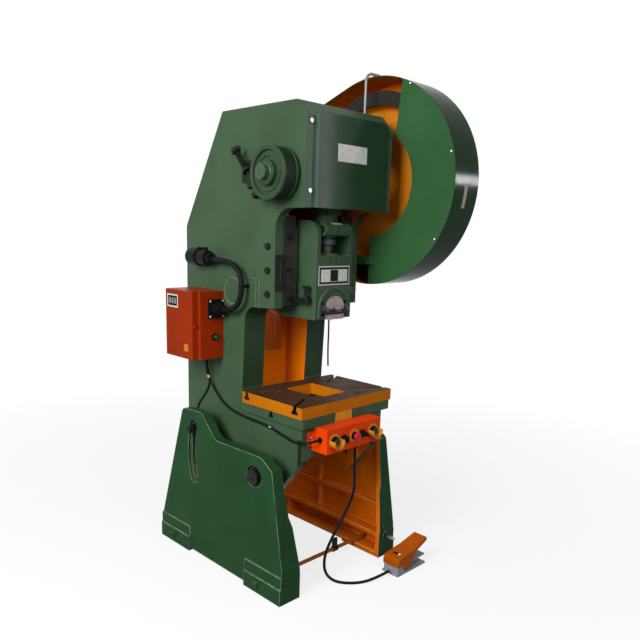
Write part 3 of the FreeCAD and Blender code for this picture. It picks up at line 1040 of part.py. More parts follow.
keep(fuse("motor_plug", [
    box("plug_foot", (10, 70, 84), ("-frame_width / 2 - run_gap - 10", 216, 1363)),
    rod("plug_socket", "Y", (-290, 222, 1405), 38, 62), rod("plug_flange", "Y", (-290, 216, 1405), 35, 6),
    rod("plug_body", "Y", (-290, 158, 1403), 32, 60), rod("plug_step", "Y", (-290, 134, 1400), 23, 26),
    rod("plug_gland", "Y", (-290, 120, 1397), "conduit_dia / 2 + 3", 16)]), "motor_plug")
keep(cord("conduit", [
    (-290, 119.9, 1397), (-290, -10, 1399), (-290, -79, 1342), (-290, -79, 1248), (-292, -26, 1184),
    (-292, 44.9, 1183)], S.conduit_dia), "conduit")
clip = cut("clip_ring", rod("clip_out", "Z", (-290, -79, 1288), "conduit_dia / 2 + 2", 14), [
    rod("clip_in", "Z", (-290, -79, 1280), "conduit_dia / 2 + 0.1", 30)])
fittings = [fuse("conduit_clip", [clip, box("clip_stem", (27, 10, 14), (-277.05, -84, 1288))])]

# ---------------------------------------------------------------- button box
panel_outer = box("panel_outer", ("panel_right - panel_left", "panel_depth", "panel_high - panel_low"),
                  ("panel_left", "panel_front", "panel_low"))
panel_inner = box("panel_inner", ("panel_right - panel_left - 4", "panel_depth - 4", "panel_high - panel_low - 4"),
                  ("panel_left + 2", "panel_front + 2", "panel_low + 2"))
BUTTON_UP = 694
BUTTONS = {"left_palm": -152, "selector": -96, "estop": -32, "key_switch": 18, "right_palm": 88}
FOOT_GLAND, PANEL_GLAND = (14, -490), (-482, 697)
hole_tools = [panel_inner, rod("foot_cable_hole", "Z", FOOT_GLAND + ("panel_low - 10",), 8, 20),
              rod("panel_cable_hole", "X", ("panel_left - 10",) + PANEL_GLAND, 8, 20)]
for name, along in BUTTONS.items():
    hole_tools.append(rod(f"{name}_hole", "Y", (along, "panel_front - 10", BUTTON_UP), 11.1, 20))
panel_ears = [
    box("panel_ear_left", (26, 3, 60), ("panel_left - 25", "panel_front + panel_depth - 3", 662)),
    box("panel_ear_right", (26, 3, 60), ("panel_right - 1", "panel_front + panel_depth - 3", 662))]
keep(cut("button_box", fuse("button_box_solid", [panel_outer] + panel_ears), hole_tools), "button_box")
fittings += [
    fuse("foot_gland", [rod("foot_gland_out", "Z", FOOT_GLAND + ("panel_low - 16",), 9, 16 - S.run_gap),
                        rod("foot_gland_nut", "Z", FOOT_GLAND + ("panel_low - 5",), 13, 5 - S.run_gap),
                        rod("foot_gland_in", "Z", FOOT_GLAND + ("panel_low - 1",), 7.9, 12)]),
    fuse("panel_gland", [rod("panel_gland_out", "X", ("panel_left - 8",) + PANEL_GLAND, 9, 8 - S.run_gap),
                         rod("panel_gland_nut", "X", ("panel_left - 5",) + PANEL_GLAND, 12, 5 - S.run_gap),
                         rod("panel_gland_in", "X", ("panel_left - 1",) + PANEL_GLAND, 7.9, 12)]),
    fuse("box_gland", [rod("box_gland_out", "Z", (-290, 176, 942), 9, 16 - S.run_gap),
                       rod("box_gland_nut", "Z", (-290, 176, 953), 13, 5 - S.run_gap),
                       rod("box_gland_in", "Z", (-290, 176, 957), 8.9, 12)]),
    fuse("branch_gland", [rod("branch_gland_out", "Z", (-262, 210, 944), 7, 14 - S.run_gap),
                          rod("branch_gland_nut", "Z", (-262, 210, 953), 10, 5 - S.run_gap),
                          rod("branch_gland_in", "Z", (-262, 210, 957), 5.9, 12)]),
    box("branch_terminal", (12 - S.run_gap, 18, 26), (-262, 295, 598))]
shrouds = []
for name, along in BUTTONS.items():
    wide = 20 if "palm" in name else 17
    bezels.append(cut(f"{name}_bezel", fuse(f"{name}_bezel_solid", [
        rod(f"{name}_collar", "Y", (along, "panel_front - 7", BUTTON_UP), wide, 6.9),
        rod(f"{name}_barrel", "Y", (along, "panel_front - 4", BUTTON_UP), 11, 36)]), [
        rod(f"{name}_bore", "Y", (along, "panel_front - 10", BUTTON_UP), 8.05, 30)]))
    if "palm" in name:
        outer = rod(f"{name}_shroud_out", "Y", (along, "panel_front - 34", BUTTON_UP), 30, 33.9)
        inner = rod(f"{name}_shroud_in", "Y", (along, "panel_front - 40", BUTTON_UP), 27, 60)
        half_cut = box(f"{name}_shroud_cut", (80, 60, 40), (along - 40, "panel_front - 50", BUTTON_UP + 6))
        foot_disc = rod(f"{name}_foot", "Y", (along, "panel_front - 2.1", BUTTON_UP), 30, 2)
        foot_ring = cut(f"{name}_foot_ring", foot_disc, [
            rod(f"{name}_foot_hole", "Y", (along, "panel_front - 10", BUTTON_UP), 20.1, 20)])
        shrouds.append(fuse(f"{name}_shroud", [cut(f"{name}_half", outer, [inner, half_cut]), foot_ring]))
keep(group("button_bezels", bezels), "button_bezels")
estop_disc = rod("estop_disc_out", "Y", (BUTTONS["estop"], "panel_front - 2", BUTTON_UP), 29, 1.9)
shrouds.append(cut("estop_plate", estop_disc, [
    rod("estop_disc_in", "Y", (BUTTONS["estop"], "panel_front - 10", BUTTON_UP), 17.1, 20)]))
keep(group("yellow_guards", shrouds), "yellow_guards")
for name in ("left_palm", "right_palm"):
    keep(fuse(f"{name}_button", [
        rod(f"{name}_cap", "Y", (BUTTONS[name], "panel_front - 18", BUTTON_UP), 14, 5),
        rod(f"{name}_stem", "Y", (BUTTONS[name], "panel_front - 14", BUTTON_UP), 8, 24)]), f"{name}_button")
keep(fuse("estop_button", [
    turned("estop_mushroom", "Y", [(-30, 0), (-30, 13, 8), (-24, 18, 4), (-16, 18), (-12, 12), (-12, 0)],
           (BUTTONS["estop"], "panel_front", BUTTON_UP)),
    rod("estop_stem", "Y", (BUTTONS["estop"], "panel_front - 14", BUTTON_UP), 8, 24)]), "estop_button")
for name, wide, bar in (("selector", 14, (9, 10, 27)), ("key_switch", 13, (3, 22, 16))):
    keep(fuse(f"{name}_knob", [
        rod(f"{name}_drum", "Y", (BUTTONS[name], "panel_front - 20", BUTTON_UP), wide, 12.8),
        rod(f"{name}_stem", "Y", (BUTTONS[name], "panel_front - 10", BUTTON_UP), 8, 20),
        box(f"{name}_bar", bar, (
            BUTTONS[name] - bar[0] / 2, S.panel_front - 19 - bar[1], BUTTON_UP - bar[2] / 2))]),
        f"{name}_knob")

# ---------------------------------------------------------------- cables
keep(cord("panel_cable", [
    (-290, 176, 941.9), (-290, 176, 886), (-272, 168, 838), (-260, 140, 784), (-257, 84, 742), (-257, -6, 718),
    (-257, -120, 712), (-257, -230, 708), (-260, -320, 691), (-264, -392, 680), (-262, -440, 684),
    (-252, -468, 690), (-232, -482, 697), (-204.1, -482, 697)], S.panel_cable_dia), "panel_cable")
keep(cord("branch_cable", [
    (-262, 210, 943.9), (-262, 210, 898), (-256, 200, 852), (-254.2, 206, 800), (-254.2, 250, 746),
    (-254.2, 292, 702), (-254.2, 304, 660), (-254.2, 304, 624.1)], S.thin_cable_dia), "branch_cable")
keep(cord("switch_cable", [
    (257, -72, 1239.9), (258, -69, 1150), (257, -73, 1050), (258, -70, 960), (257, -76, 884)],
    S.thin_cable_dia), "switch_cable")
fittings.append(fuse("limit_switch", [
    box("switch_body", (34, 50, 62), ("frame_width / 2 + run_gap", -96, 1248)),
    rod("switch_gland", "Z", (257, -72, 1240), 6.5, 10)]))
keep(group("cable_fittings", fittings), "cable_fittings")
keep(cord("foot_cable", [
    (14, -490, 624.9), (14, -489, 562), (32, -478, 478), (46, -466, 400), (20, -448, 312), (-22, -432, 232),
    (-58, -416, 156), (-74, -408, 88), (-78, -422, 34), (-66, -462, 7.2), (-36, -514, 6.6), (26, -560, 6.6),
    (98, -588, 20), (169.7, -590, 22)], S.foot_cable_dia), "foot_cable")
clamp_ring = cut("tie_clamp_ring", rod("tie_clamp_out", "X", (98, "-front_tie_back", "tie_rod_height"),
                                       "tie_rod_dia / 2 + 5", 28), [
    rod("tie_clamp_in", "X", (90, "-front_tie_back", "tie_rod_height"), "tie_rod_dia / 2 + run_gap", 50)])
keep(fuse("tie_rod_clamp", [clamp_ring, box("tie_clamp_lug", (28, 10, 40), (98, "-front_tie_back - 5",
                                                                           "tie_rod_height + tie_rod_dia / 2 + 3"))]),
     "tie_rod_clamp")

# ---------------------------------------------------------------- foot switch
left, tip = S.pedal_left, S.pedal_left + S.pedal_length
pin_along, pin_up = "pedal_left + pedal_pin_in", "pedal_pin_height"
low_side = "pedal_back - pedal_width / 2"
base_solid = prism("pedal_base_blank", "Y", [
    (left, 0, 3), (left, 52, 6), (left + 34, 52, 6), (left + 50, 12, 8), (tip - 4, 12, 3), (tip, 5), (tip, 0)],
    low_side, "pedal_width")
pin_lug = fuse("pedal_pin_lug", [
    rod("lug_round", "Y", (pin_along, "pedal_back - 16", pin_up), 9, 32),
    box("lug_foot", (18, 32, 30), ("pedal_left + pedal_pin_in - 9", "pedal_back - 16", 6))])
keep(cut("foot_switch_base", fuse("switch_base_solid", [
    base_solid, pin_lug, rod("pedal_gland", "X", (left - 12, "pedal_back", 22), 10, 14),
    box("pedal_plunger", (22, 24, 15), (left + 116, "pedal_back - 12", 11)),
    box("screw_lug", (24, 16, 5), (left + 4, "pedal_back + pedal_width / 2 - 1", 0))]), [
    rod("lug_bore", "Y", (pin_along, f"{low_side} - 10", pin_up), 4 + S.run_gap, "pedal_width + 20"),
    rod("lug_screw_way", "Z", (left + 16, "pedal_back + pedal_width / 2 + 7", -5), 3.5, 20)]), "foot_switch_base")
hood_out = prism("hood_out", "Y", [
    (left - 3.5, 48), (left - 3.5, 74, 12), (left + 12, 88, 16), (left + 112, 101, 60), (tip + 8, 132, 6),
    (tip + 12, 112, 5), (left + 140, 88, 30), (left + 82, 24, 12), (left + 42, 24, 10), (left + 37, 48)],
    f"{low_side} - 3.5", "pedal_width + 7")
hood_in = prism("hood_in", "Y", [
    (left - 0.3, 0), (left - 0.3, 72, 10), (left + 13, 84.5, 14), (left + 112, 97.5, 60), (tip + 4, 127.5, 4),
    (tip + 8, 0)], f"{low_side} - run_gap", "pedal_width + 2 * run_gap")
hood_slot = prism("hood_slot", "Z", [
    (left + 34, S.pedal_back - 22, 4), (left + 50, S.pedal_back - 22, 4), (left + 50, S.pedal_back + 22, 4),
    (left + 34, S.pedal_back + 22, 4)], 60, 80)
hood_pin = rod("hood_pin", "Y", (pin_along, f"{low_side} - 4", pin_up), 4, "pedal_width + 8")


def side_wedges(name, inward):
    """Two wedges that taper the hood, or what lies in it, towards its mouth."""
    wide, narrow = S.pedal_width / 2 + 3.5 - inward, S.hood_tip_width / 2 - inward
    slope = (wide - narrow) / (S.pedal_length + 12 - 90)
    past = left + S.pedal_length + 40
    reach = wide - slope * (past - left - 90)
    wedges = []
    for side, sign in (("near", -1), ("far", 1)):
        wedges.append(prism(f"{name}_{side}", "Z", [
            (left + 90, S.pedal_back + sign * wide), (past, S.pedal_back + sign * reach),
            (past, S.pedal_back + sign * 80), (left + 90, S.pedal_back + sign * 80)], -10, 180))
    return wedges


hood_body = cut("hood_body", hood_out, side_wedges("hood_side", 0))
hood_room = cut("hood_room", hood_in, side_wedges("room_side", 3.5))
keep(fuse("foot_switch_hood", [cut("hood_shell", hood_body, [hood_room, hood_slot]), hood_pin]),
     "foot_switch_hood")
pedal = fuse("pedal_solid", [
    prism("pedal_blank", "Y", [
        (left + 62, 36), (left + 70, 46, 8), (left + 120, 46, 20), (tip + 8, 44, 3), (tip + 12, 38, 2),
        (tip + 8, 36, 2), (left + 120, 38, 20), (left + 76, 38, 8)],
        "pedal_back - pedal_width / 2 + 4", "pedal_width - 8"),
    rod("pedal_hub", "Y", (pin_along, "pedal_back - pedal_width / 2 + 4", pin_up), 9, "pedal_width - 8")])
keep(cut("foot_pedal", pedal, side_wedges("pedal_side", 8) + [
    rod("pedal_eye", "Y", (pin_along, f"{low_side} - 10", pin_up), 4 + S.run_gap, "pedal_width + 20"),
    box("pedal_hub_gap", (42, 33, 40), ("pedal_left + pedal_pin_in - 20", "pedal_back - 16.5", 16))]), "foot_pedal")

DOC.recompute()
for thing in DOC.Objects:
    if {"Invalid", "Error"} & set(thing.State):
        raise RuntimeError(f"{thing.Label} did not compute: {thing.State}")
for thing in NODES:
    if thing.Shape.isNull() or not thing.Shape.isValid():
        raise RuntimeError(f"{thing.Label} has no valid shape")
    print(thing.Label, len(thing.Shape.Solids), "solids,", round(thing.Shape.Volume / 1e6, 3), "litres")

os.makedirs("parts", exist_ok=True)
for thing in NODES:
    thing.Shape.exportStep(f"parts/{thing.Label}.step")
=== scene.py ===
"""Looks of an open-back inclinable power press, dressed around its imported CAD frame."""

import logging
import math
from dataclasses import dataclass, field, replace
from enum import Enum
from typing import Sequence

import bmesh
import bpy
from mathutils import Matrix, Vector


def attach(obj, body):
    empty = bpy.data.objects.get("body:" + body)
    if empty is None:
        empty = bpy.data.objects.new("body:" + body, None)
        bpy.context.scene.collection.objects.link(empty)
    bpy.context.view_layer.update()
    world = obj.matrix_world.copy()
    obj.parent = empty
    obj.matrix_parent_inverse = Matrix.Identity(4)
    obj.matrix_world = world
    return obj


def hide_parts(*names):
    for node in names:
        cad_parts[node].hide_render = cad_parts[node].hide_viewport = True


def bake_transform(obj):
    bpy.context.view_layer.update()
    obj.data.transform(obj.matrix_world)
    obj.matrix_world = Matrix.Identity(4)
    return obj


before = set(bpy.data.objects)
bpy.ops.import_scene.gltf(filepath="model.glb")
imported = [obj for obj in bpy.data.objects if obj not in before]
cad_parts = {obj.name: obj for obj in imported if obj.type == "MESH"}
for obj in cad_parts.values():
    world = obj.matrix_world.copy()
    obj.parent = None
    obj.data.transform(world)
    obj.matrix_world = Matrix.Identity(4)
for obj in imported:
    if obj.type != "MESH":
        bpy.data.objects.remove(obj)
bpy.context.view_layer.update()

LOG = logging.getLogger("stamping_press")
MM = 0.001
Point = Sequence[float]
Spot = tuple[float, float, float]
Pair = tuple[float, float]
Reach = tuple[float | None, float | None]
Colour = tuple[float, float, float]
Socket = bpy.types.NodeSocket

LEFT = (-1, 0, 0)
FORWARD = (0, -1, 0)
PRESS = "press_body"
STAND = "stand"
SLIDE = "slide"

# Places that several pieces share, in millimetres.
CRANK_BACK = -287.0
CRANK_HEIGHT = 1748.0
FRAME_SIDE = 250.0
WALL_INSIDE = 210.0  # the inner faces of the frame's side walls
THROAT_SIDE = 130.0  # the faces of its columns towards the throat
LEG_FACE = 341.0  # just past the legs' inner faces
SKIN = 0.6  # how far a zone of colour reaches past the face that it covers


# ---------------------------------------------------------------- finishes
@dataclass(frozen=True)
class Cloud:
    """A cloudy pattern over a piece, and the values between which it goes from nothing to full."""

    scale: float  # patches to a metre
    detail: float  # how many finer layers it has
    low: float = 0.0
    high: float = 1.0
    stretch: Spot = (1, 1, 1)  # how much denser it is along each axis


TONES = Cloud(5.0, 5.0, 0.35, 0.7)
SPECKS = Cloud(38.0, 8.0, 0.62, 0.85)
# patches over which worn edges and their painted highlight come and go
SCUFF_AND_HIGHLIGHT_PATCHES = Cloud(16.0, 5.0, 0.3, 0.62)
DULL_PATCHES = Cloud(16.0, 5.0, 0.3, 0.75)
SPRAY = Cloud(260.0, 2.0)
STAINS = Cloud(11.0, 7.0, 0.45, 0.75)
HANDLED = Cloud(24.0, 5.0, 0.3, 0.7)
TOOL_MARKS = Cloud(90.0, 3.0, 0.3, 0.7)
MOULD_TONES = Cloud(30.0, 6.0, 0.4, 0.75)
MOULD_PATCHES = Cloud(60.0, 4.0, 0.3, 0.7)
MOULD_GRAIN = Cloud(900.0, 2.0)


class Sheet:
    """A node tree, built up in short steps."""

    def __init__(self, owner: bpy.types.Material | bpy.types.World) -> None:
        """Switches on the nodes of a material or a world, and takes their tree."""
        owner.use_nodes = True
        self.tree = owner.node_tree

    def node(self, kind: str, **settings: object) -> bpy.types.Node:
        """Adds a node.

        Args:
            kind: Blender's name of the node.
            settings: properties to set on it.

        Returns:
            The new node.
        """
        made = self.tree.nodes.new(kind)
        for key, value in settings.items():
            setattr(made, key, value)
        return made

    def link(self, source: Socket, target: Socket) -> None:
        """Joins two sockets."""
        self.tree.links.new(source, target)

    def feed(self, value: object, target: Socket) -> None:
        """Links a socket or sets a plain value.

        Args:
            value: the socket or the value.
            target: the socket that takes it.
        """
        if isinstance(value, bpy.types.NodeSocket):
            self.link(value, target)
        else:
            target.default_value = value

    def maths(self, operation: str, first: object, second: object = 0.0) -> Socket:
        """Works out one step of arithmetic.

        Args:
            operation: the step, such as ADD or LESS_THAN.
            first: a socket or a number.
            second: a socket or a number.

        Returns:
            The result's socket.
        """
        step = self.node("ShaderNodeMath", operation=operation)
        self.feed(first, step.inputs[0])
        self.feed(second, step.inputs[1])
        return step.outputs[0]

    def vector(self, operation: str, first: Socket, second: object = None) -> bpy.types.Node:
        """Works out one step with vectors.

        Args:
            operation: the step, such as SUBTRACT or LENGTH.
            first: the first vector's socket.
            second: the second vector or its socket, where the step has one.

        Returns:
            The step's node.
        """
        step = self.node("ShaderNodeVectorMath", operation=operation)
        self.link(first, step.inputs[0])
        if second is not None:
            self.feed(second, step.inputs[1])
        return step

    def spread(self, value: Socket, low: float, high: float, start: float = 0.0, end: float = 1.0) -> Socket:
        """Stretches a pattern's range.

        Args:
            value: the pattern.
            low: pattern value that becomes start.
            high: pattern value that becomes end.
            start: result at low.
            end: result at high.

        Returns:
            The stretched pattern.
        """
        step = self.node("ShaderNodeMapRange")
        self.link(value, step.inputs["Value"])
        for name, number in (("From Min", low), ("From Max", high), ("To Min", start), ("To Max", end)):
            step.inputs[name].default_value = number
        return step.outputs["Result"]

    def seen(self) -> Socket:
        """Tells looks from light.

        Returns:
            A share of 1 where the camera or a shiny surface looks, and 0 where light only bounces.
        """
        path = self.node("ShaderNodeLightPath").outputs
        share = self.maths("MAXIMUM", path["Is Camera Ray"], path["Is Glossy Ray"])
        return self.maths("MAXIMUM", share, path["Is Transmission Ray"])


class Shader(Sheet):
    """One material's node tree, with its patterns and places."""

    bump_strength = 0.6
    edge_samples = 4
    edge_flat = 0.99  # how closely the soft normal follows the true one on a flat, and on an edge
    edge_round = 0.88

    def __init__(self, name: str) -> None:
        """Makes the material and finds its shader.

        Args:
            name: the material's name.
        """
        self.material = bpy.data.materials.new(name)
        super().__init__(self.material)
        self.body = self.tree.nodes["Principled BSDF"]
        self.place = self.node("ShaderNodeTexCoord").outputs["Object"]
        self.clouds: dict[tuple, Socket] = {}
        self.split: bpy.types.Node | None = None

    def put(self, **values: object) -> None:
        """Feeds the shader's own sockets, named with _ for a space."""
        for name, value in values.items():
            self.feed(value, self.body.inputs[name.replace("_", " ")])

    def noise(self, cloud: Cloud) -> Socket:
        """A cloudy pattern over the object, laid once for each scale.

        Args:
            cloud: the pattern.

        Returns:
            The pattern's value, from 0 to 1.
        """
        kind = (cloud.scale, cloud.detail, cloud.stretch)
        if kind in self.clouds:
            return self.clouds[kind]
        laid = self.node("ShaderNodeMapping")
        laid.inputs["Scale"].default_value = cloud.stretch
        self.link(self.place, laid.inputs["Vector"])
        pattern = self.node("ShaderNodeTexNoise")
        pattern.inputs["Scale"].default_value = cloud.scale
        pattern.inputs["Detail"].default_value = cloud.detail
        self.link(laid.outputs["Vector"], pattern.inputs["Vector"])
        self.clouds[kind] = pattern.outputs["Fac"]
        return pattern.outputs["Fac"]

    def patches(self, cloud: Cloud, start: float = 0.0, end: float = 1.0) -> Socket:
        """A cloud's own range, stretched from start to end."""
        return self.spread(self.noise(cloud), cloud.low, cloud.high, start, end)

    def blend(self, share: Socket, first: object, second: object) -> Socket:
        """Mixes two colours.

        Args:
            share: how much of the second shows.
            first: a colour or a socket.
            second: a colour or a socket.

        Returns:
            The mixed colour.
        """
        step = self.node("ShaderNodeMix", data_type="RGBA")
        self.link(share, step.inputs["Factor"])
        for value, socket in ((first, step.inputs[6]), (second, step.inputs[7])):
            self.feed((*value, 1.0) if isinstance(value, tuple) else value, socket)
        return step.outputs[2]

    def bump(self, height: Socket, depth: float, normal: Socket | None = None) -> None:
        """Roughens the surface by a pattern.

        Args:
            height: the pattern.
            depth: its depth in metres.
            normal: the softened normal that it starts from, where there is one.
        """
        step = self.node("ShaderNodeBump")
        step.inputs["Strength"].default_value = self.bump_strength
        step.inputs["Distance"].default_value = depth
        self.link(height, step.inputs["Height"])
        if normal:
            self.link(normal, step.inputs["Normal"])
        self.link(step.outputs["Normal"], self.body.inputs["Normal"])

    def edges(self, radius: float) -> tuple[Socket, Socket]:
        """Finds the edges of a casting.

        Args:
            radius: how far round an edge is soft, in metres.

        Returns:
            The softened normal, and a share that is 1 on an edge and 0 away from it.
        """
        soft = self.node("ShaderNodeBevel", samples=self.edge_samples)
        soft.inputs["Radius"].default_value = radius
        true_normal = self.node("ShaderNodeNewGeometry").outputs["Normal"]
        facing = self.vector("DOT_PRODUCT", soft.outputs["Normal"], true_normal)
        return soft.outputs["Normal"], self.spread(facing.outputs["Value"], self.edge_flat, self.edge_round)

    def axis(self, letter: str) -> Socket:
        """One coordinate of the place, in metres.

        Args:
            letter: X, Y or Z.

        Returns:
            The coordinate's socket.
        """
        if not self.split:
            self.split = self.node("ShaderNodeSeparateXYZ")
            self.link(self.place, self.split.inputs["Vector"])
        return self.split.outputs[letter]

    def spoke(self, back: float, height: float) -> Socket:
        """The way from an axis across the press straight out to a place.

        Args:
            back: where the axis lies along Y, in millimetres.
            height: where it lies along Z, in millimetres.

        Returns:
            The vector's socket, in metres.
        """
        away = self.vector("SUBTRACT", self.place, (0, back * MM, height * MM))
        return self.vector("MULTIPLY", away.outputs[0], (0, 1, 1)).outputs[0]

    def any_of(self, places: Sequence["Place"]) -> Socket:
        """Joins places.

        Args:
            places: the places.

        Returns:
            A share of 1 inside any of them and 0 outside them all.
        """
        share: Socket | None = None
        for place in places:
            share = self.maths("MAXIMUM", share, place.share(self)) if share else place.share(self)
        return share


@dataclass(frozen=True)
class Zone:
    """A box of the press, from and to a distance in millimetres, or open where there is None."""

    side: Reach = (None, None)  # out from the press's middle on both sides
    wide: Reach = (None, None)  # along X, as back is along Y and up along Z
    back: Reach = (None, None)
    up: Reach = (None, None)

    def share(self, sheet: Shader) -> Socket:
        """1 inside the box and 0 outside it.

        Args:
            sheet: the tree to add to.

        Returns:
            The share's socket.
        """
        share: Socket | None = None
        across = sheet.maths("ABSOLUTE", sheet.axis("X"))
        for value, edges in ((across, self.side), (sheet.axis("X"), self.wide), (sheet.axis("Y"), self.back),
                             (sheet.axis("Z"), self.up)):
            for operation, edge in zip(("GREATER_THAN", "LESS_THAN"), edges):
                if edge is not None:
                    inside = sheet.maths(operation, value, edge * MM)
                    share = sheet.maths("MULTIPLY", share, inside) if share else inside
        return share


@dataclass(frozen=True)
class Line:
    """Everything to the right of the way between two points, as seen from the press's right side."""

    first: Pair  # back and up, in millimetres
    second: Pair
    inset: float  # how far beyond the line it starts

    def share(self, sheet: Shader) -> Socket:
        """1 to the right and 0 to the left.

        Args:
            sheet: the tree to add to.

        Returns:
            The share's socket.
        """
        along = (Vector(self.second) - Vector(self.first)).normalized()
        right = Vector((along.y, -along.x))
        reach = sheet.maths("ADD", sheet.maths("MULTIPLY", sheet.axis("Y"), right.x),
                            sheet.maths("MULTIPLY", sheet.axis("Z"), right.y))
        return sheet.maths("GREATER_THAN", reach, (right.dot(Vector(self.first)) + self.inset) * MM)


@dataclass(frozen=True)
class InsideOutline:
    """The inner face of a cast leg, up to its outline, in millimetres.

    The outline has one hollow corner, where the face lies inside either of the two lines that meet there.
    On the left leg, above left_top, only what lies further out than left_side belongs to it.
    """

    corners: tuple[Pair, ...]
    hollow_corner: int
    side_to: float
    edge: float = 1.5
    left_side: float = 340.4
    left_top: float = 430.0

    def share(self, sheet: Shader) -> Socket:
        """1 on the inner face and 0 on the outline's edge and outside it.

        Args:
            sheet: the tree to add to.

        Returns:
            The share's socket.
        """
        lines = [Line(first, second, self.edge)
                 for first, second in zip(self.corners, self.corners[1:] + self.corners[:1])]
        hollow = [lines.pop(self.hollow_corner - 1), lines.pop(self.hollow_corner - 1)]
        reached = (Zone(side=(self.left_side, None)), Zone(up=(None, self.left_top)), Zone(wide=(0, None)))
        share = Zone(side=(None, self.side_to)).share(sheet)
        for inside in (sheet.any_of(hollow), sheet.any_of(reached), *(line.share(sheet) for line in lines)):
            share = sheet.maths("MULTIPLY", share, inside)
        return share


@dataclass(frozen=True)
class InsideDrum:
    """The inside of a round guard, in millimetres: its walls between two widths, but not its outer skin."""

    back: float
    height: float
    wide: Pair
    outward: float = 0.5

    def share(self, sheet: Shader) -> Socket:
        """1 on the inner faces and 0 on the outer skin.

        Args:
            sheet: the tree to add to.

        Returns:
            The share's socket.
        """
        unit = sheet.vector("NORMALIZE", sheet.spoke(self.back, self.height))
        normal = sheet.node("ShaderNodeTexCoord").outputs["Normal"]
        facing = sheet.vector("DOT_PRODUCT", unit.outputs[0], normal)
        share = sheet.maths("LESS_THAN", facing.outputs["Value"], self.outward)
        return sheet.maths("MULTIPLY", share, Zone(wide=self.wide).share(sheet))


@dataclass(frozen=True)
class OutsideRadius:
    """Everything beyond a radius round an axis across the press, in millimetres."""

    back: float
    height: float
    radius: float

    def share(self, sheet: Shader) -> Socket:
        """1 beyond the radius and 0 within it.

        Args:
            sheet: the tree to add to.

        Returns:
            The share's socket.
        """
        away = sheet.vector("LENGTH", sheet.spoke(self.back, self.height))
        return sheet.maths("GREATER_THAN", away.outputs["Value"], self.radius * MM)


Place = Zone | Line | InsideOutline | InsideDrum | OutsideRadius


@dataclass(frozen=True)
class Layer:
    """A further colour and the places that it covers."""

    colour: Colour
    places: tuple[Place, ...]

    def share(self, sheet: Shader) -> Socket:
        """1 where the layer lies and 0 elsewhere."""
        return sheet.any_of(self.places)


@dataclass(frozen=True)
class Paint:
    """Sprayed paint, worn thin and lightened by a painted highlight along the edges of a casting or a sheet,
    with other colours in some places, some of them painted shade and painted reflections.
    """

    name: str
    colour: Colour
    shade: float = 0.80  # tone of its darker clouds
    roughness: float = 0.32
    uneven: float = 0.14  # how far its roughness changes
    coat: float = 0.02
    coat_roughness: float = 0.08
    shine: float = 0.05
    grain: float = 0.00025  # depth of its surface in metres
    dents: float = 3.0  # depth of its specks against its spray
    dust: float = 0.06
    dust_tone: float = 0.3
    dustiest: float = 0.5
    wear_and_highlight: float = 0.45  # how much of an edge is worn and lit by a painted highlight at most, and what share of that it is at least
    least_wear_and_highlight: float = 0.25
    bare_and_highlight: float = 0.09  # what a worn edge gains in brightness, partly wear and partly a painted highlight, after its own colour is multiplied
    brighter_worn_and_highlit: float = 1.5
    edge: float = 0.003  # how far round an edge it is worn and lit by the painted highlight, in metres
    layers: tuple[Layer, ...] = ()

    def tone(self, sheet: Shader, colour: Colour, edge: Socket) -> Socket:
        """A colour with its clouds, the dust that it gathers and its worn edges, lightened also as a painted
        highlight.

        Args:
            sheet: the tree to add to.
            colour: the clean colour.
            edge: 1 on an edge and 0 away from it.

        Returns:
            The colour's socket.
        """
        dark = tuple(part * self.shade for part in colour)
        worn = sheet.blend(sheet.patches(TONES), colour, dark)
        dust = tuple((1 - self.dust) * part + self.dust * self.dust_tone for part in colour)
        dusty = sheet.blend(sheet.patches(SPECKS, 0.0, self.dustiest), worn, dust)
        # worn edges, lightened also as a painted highlight where edges catch the light
        bare_and_highlight = tuple(part * self.brighter_worn_and_highlit + self.bare_and_highlight for part in colour)
        scuffs_and_highlights = sheet.patches(SCUFF_AND_HIGHLIGHT_PATCHES, self.least_wear_and_highlight * self.wear_and_highlight, self.wear_and_highlight)
        return sheet.blend(sheet.maths("MULTIPLY", edge, scuffs_and_highlights), dusty, bare_and_highlight)

    def material(self) -> bpy.types.Material:
        """Builds the finished paint.

        Returns:
            The new material.
        """
        sheet = Shader(f"{self.name}_skin")
        normal, edge = sheet.edges(self.edge)
        colour = self.tone(sheet, self.colour, edge)
        for layer in self.layers:
            colour = sheet.blend(layer.share(sheet), colour, self.tone(sheet, layer.colour, edge))
        rough = sheet.patches(DULL_PATCHES, self.roughness - self.uneven / 2, self.roughness + self.uneven)
        sheet.put(Base_Color=colour, Roughness=rough, Specular_IOR_Level=self.shine, Coat_Weight=self.coat,
                  Coat_Roughness=self.coat_roughness)
        dents = sheet.maths("MULTIPLY", sheet.noise(SPECKS), self.dents)
        sheet.bump(sheet.maths("ADD", sheet.noise(SPRAY), dents), self.grain, normal)
        return sheet.material


@dataclass(frozen=True)
class SwitchPaint(Paint):
    """The smooth, clean paint on boxes of sheet steel."""

    roughness: float = 0.3
    coat: float = 0.0
    shine: float = 0.03
    grain: float = 0.00008
    dust: float = 0.01


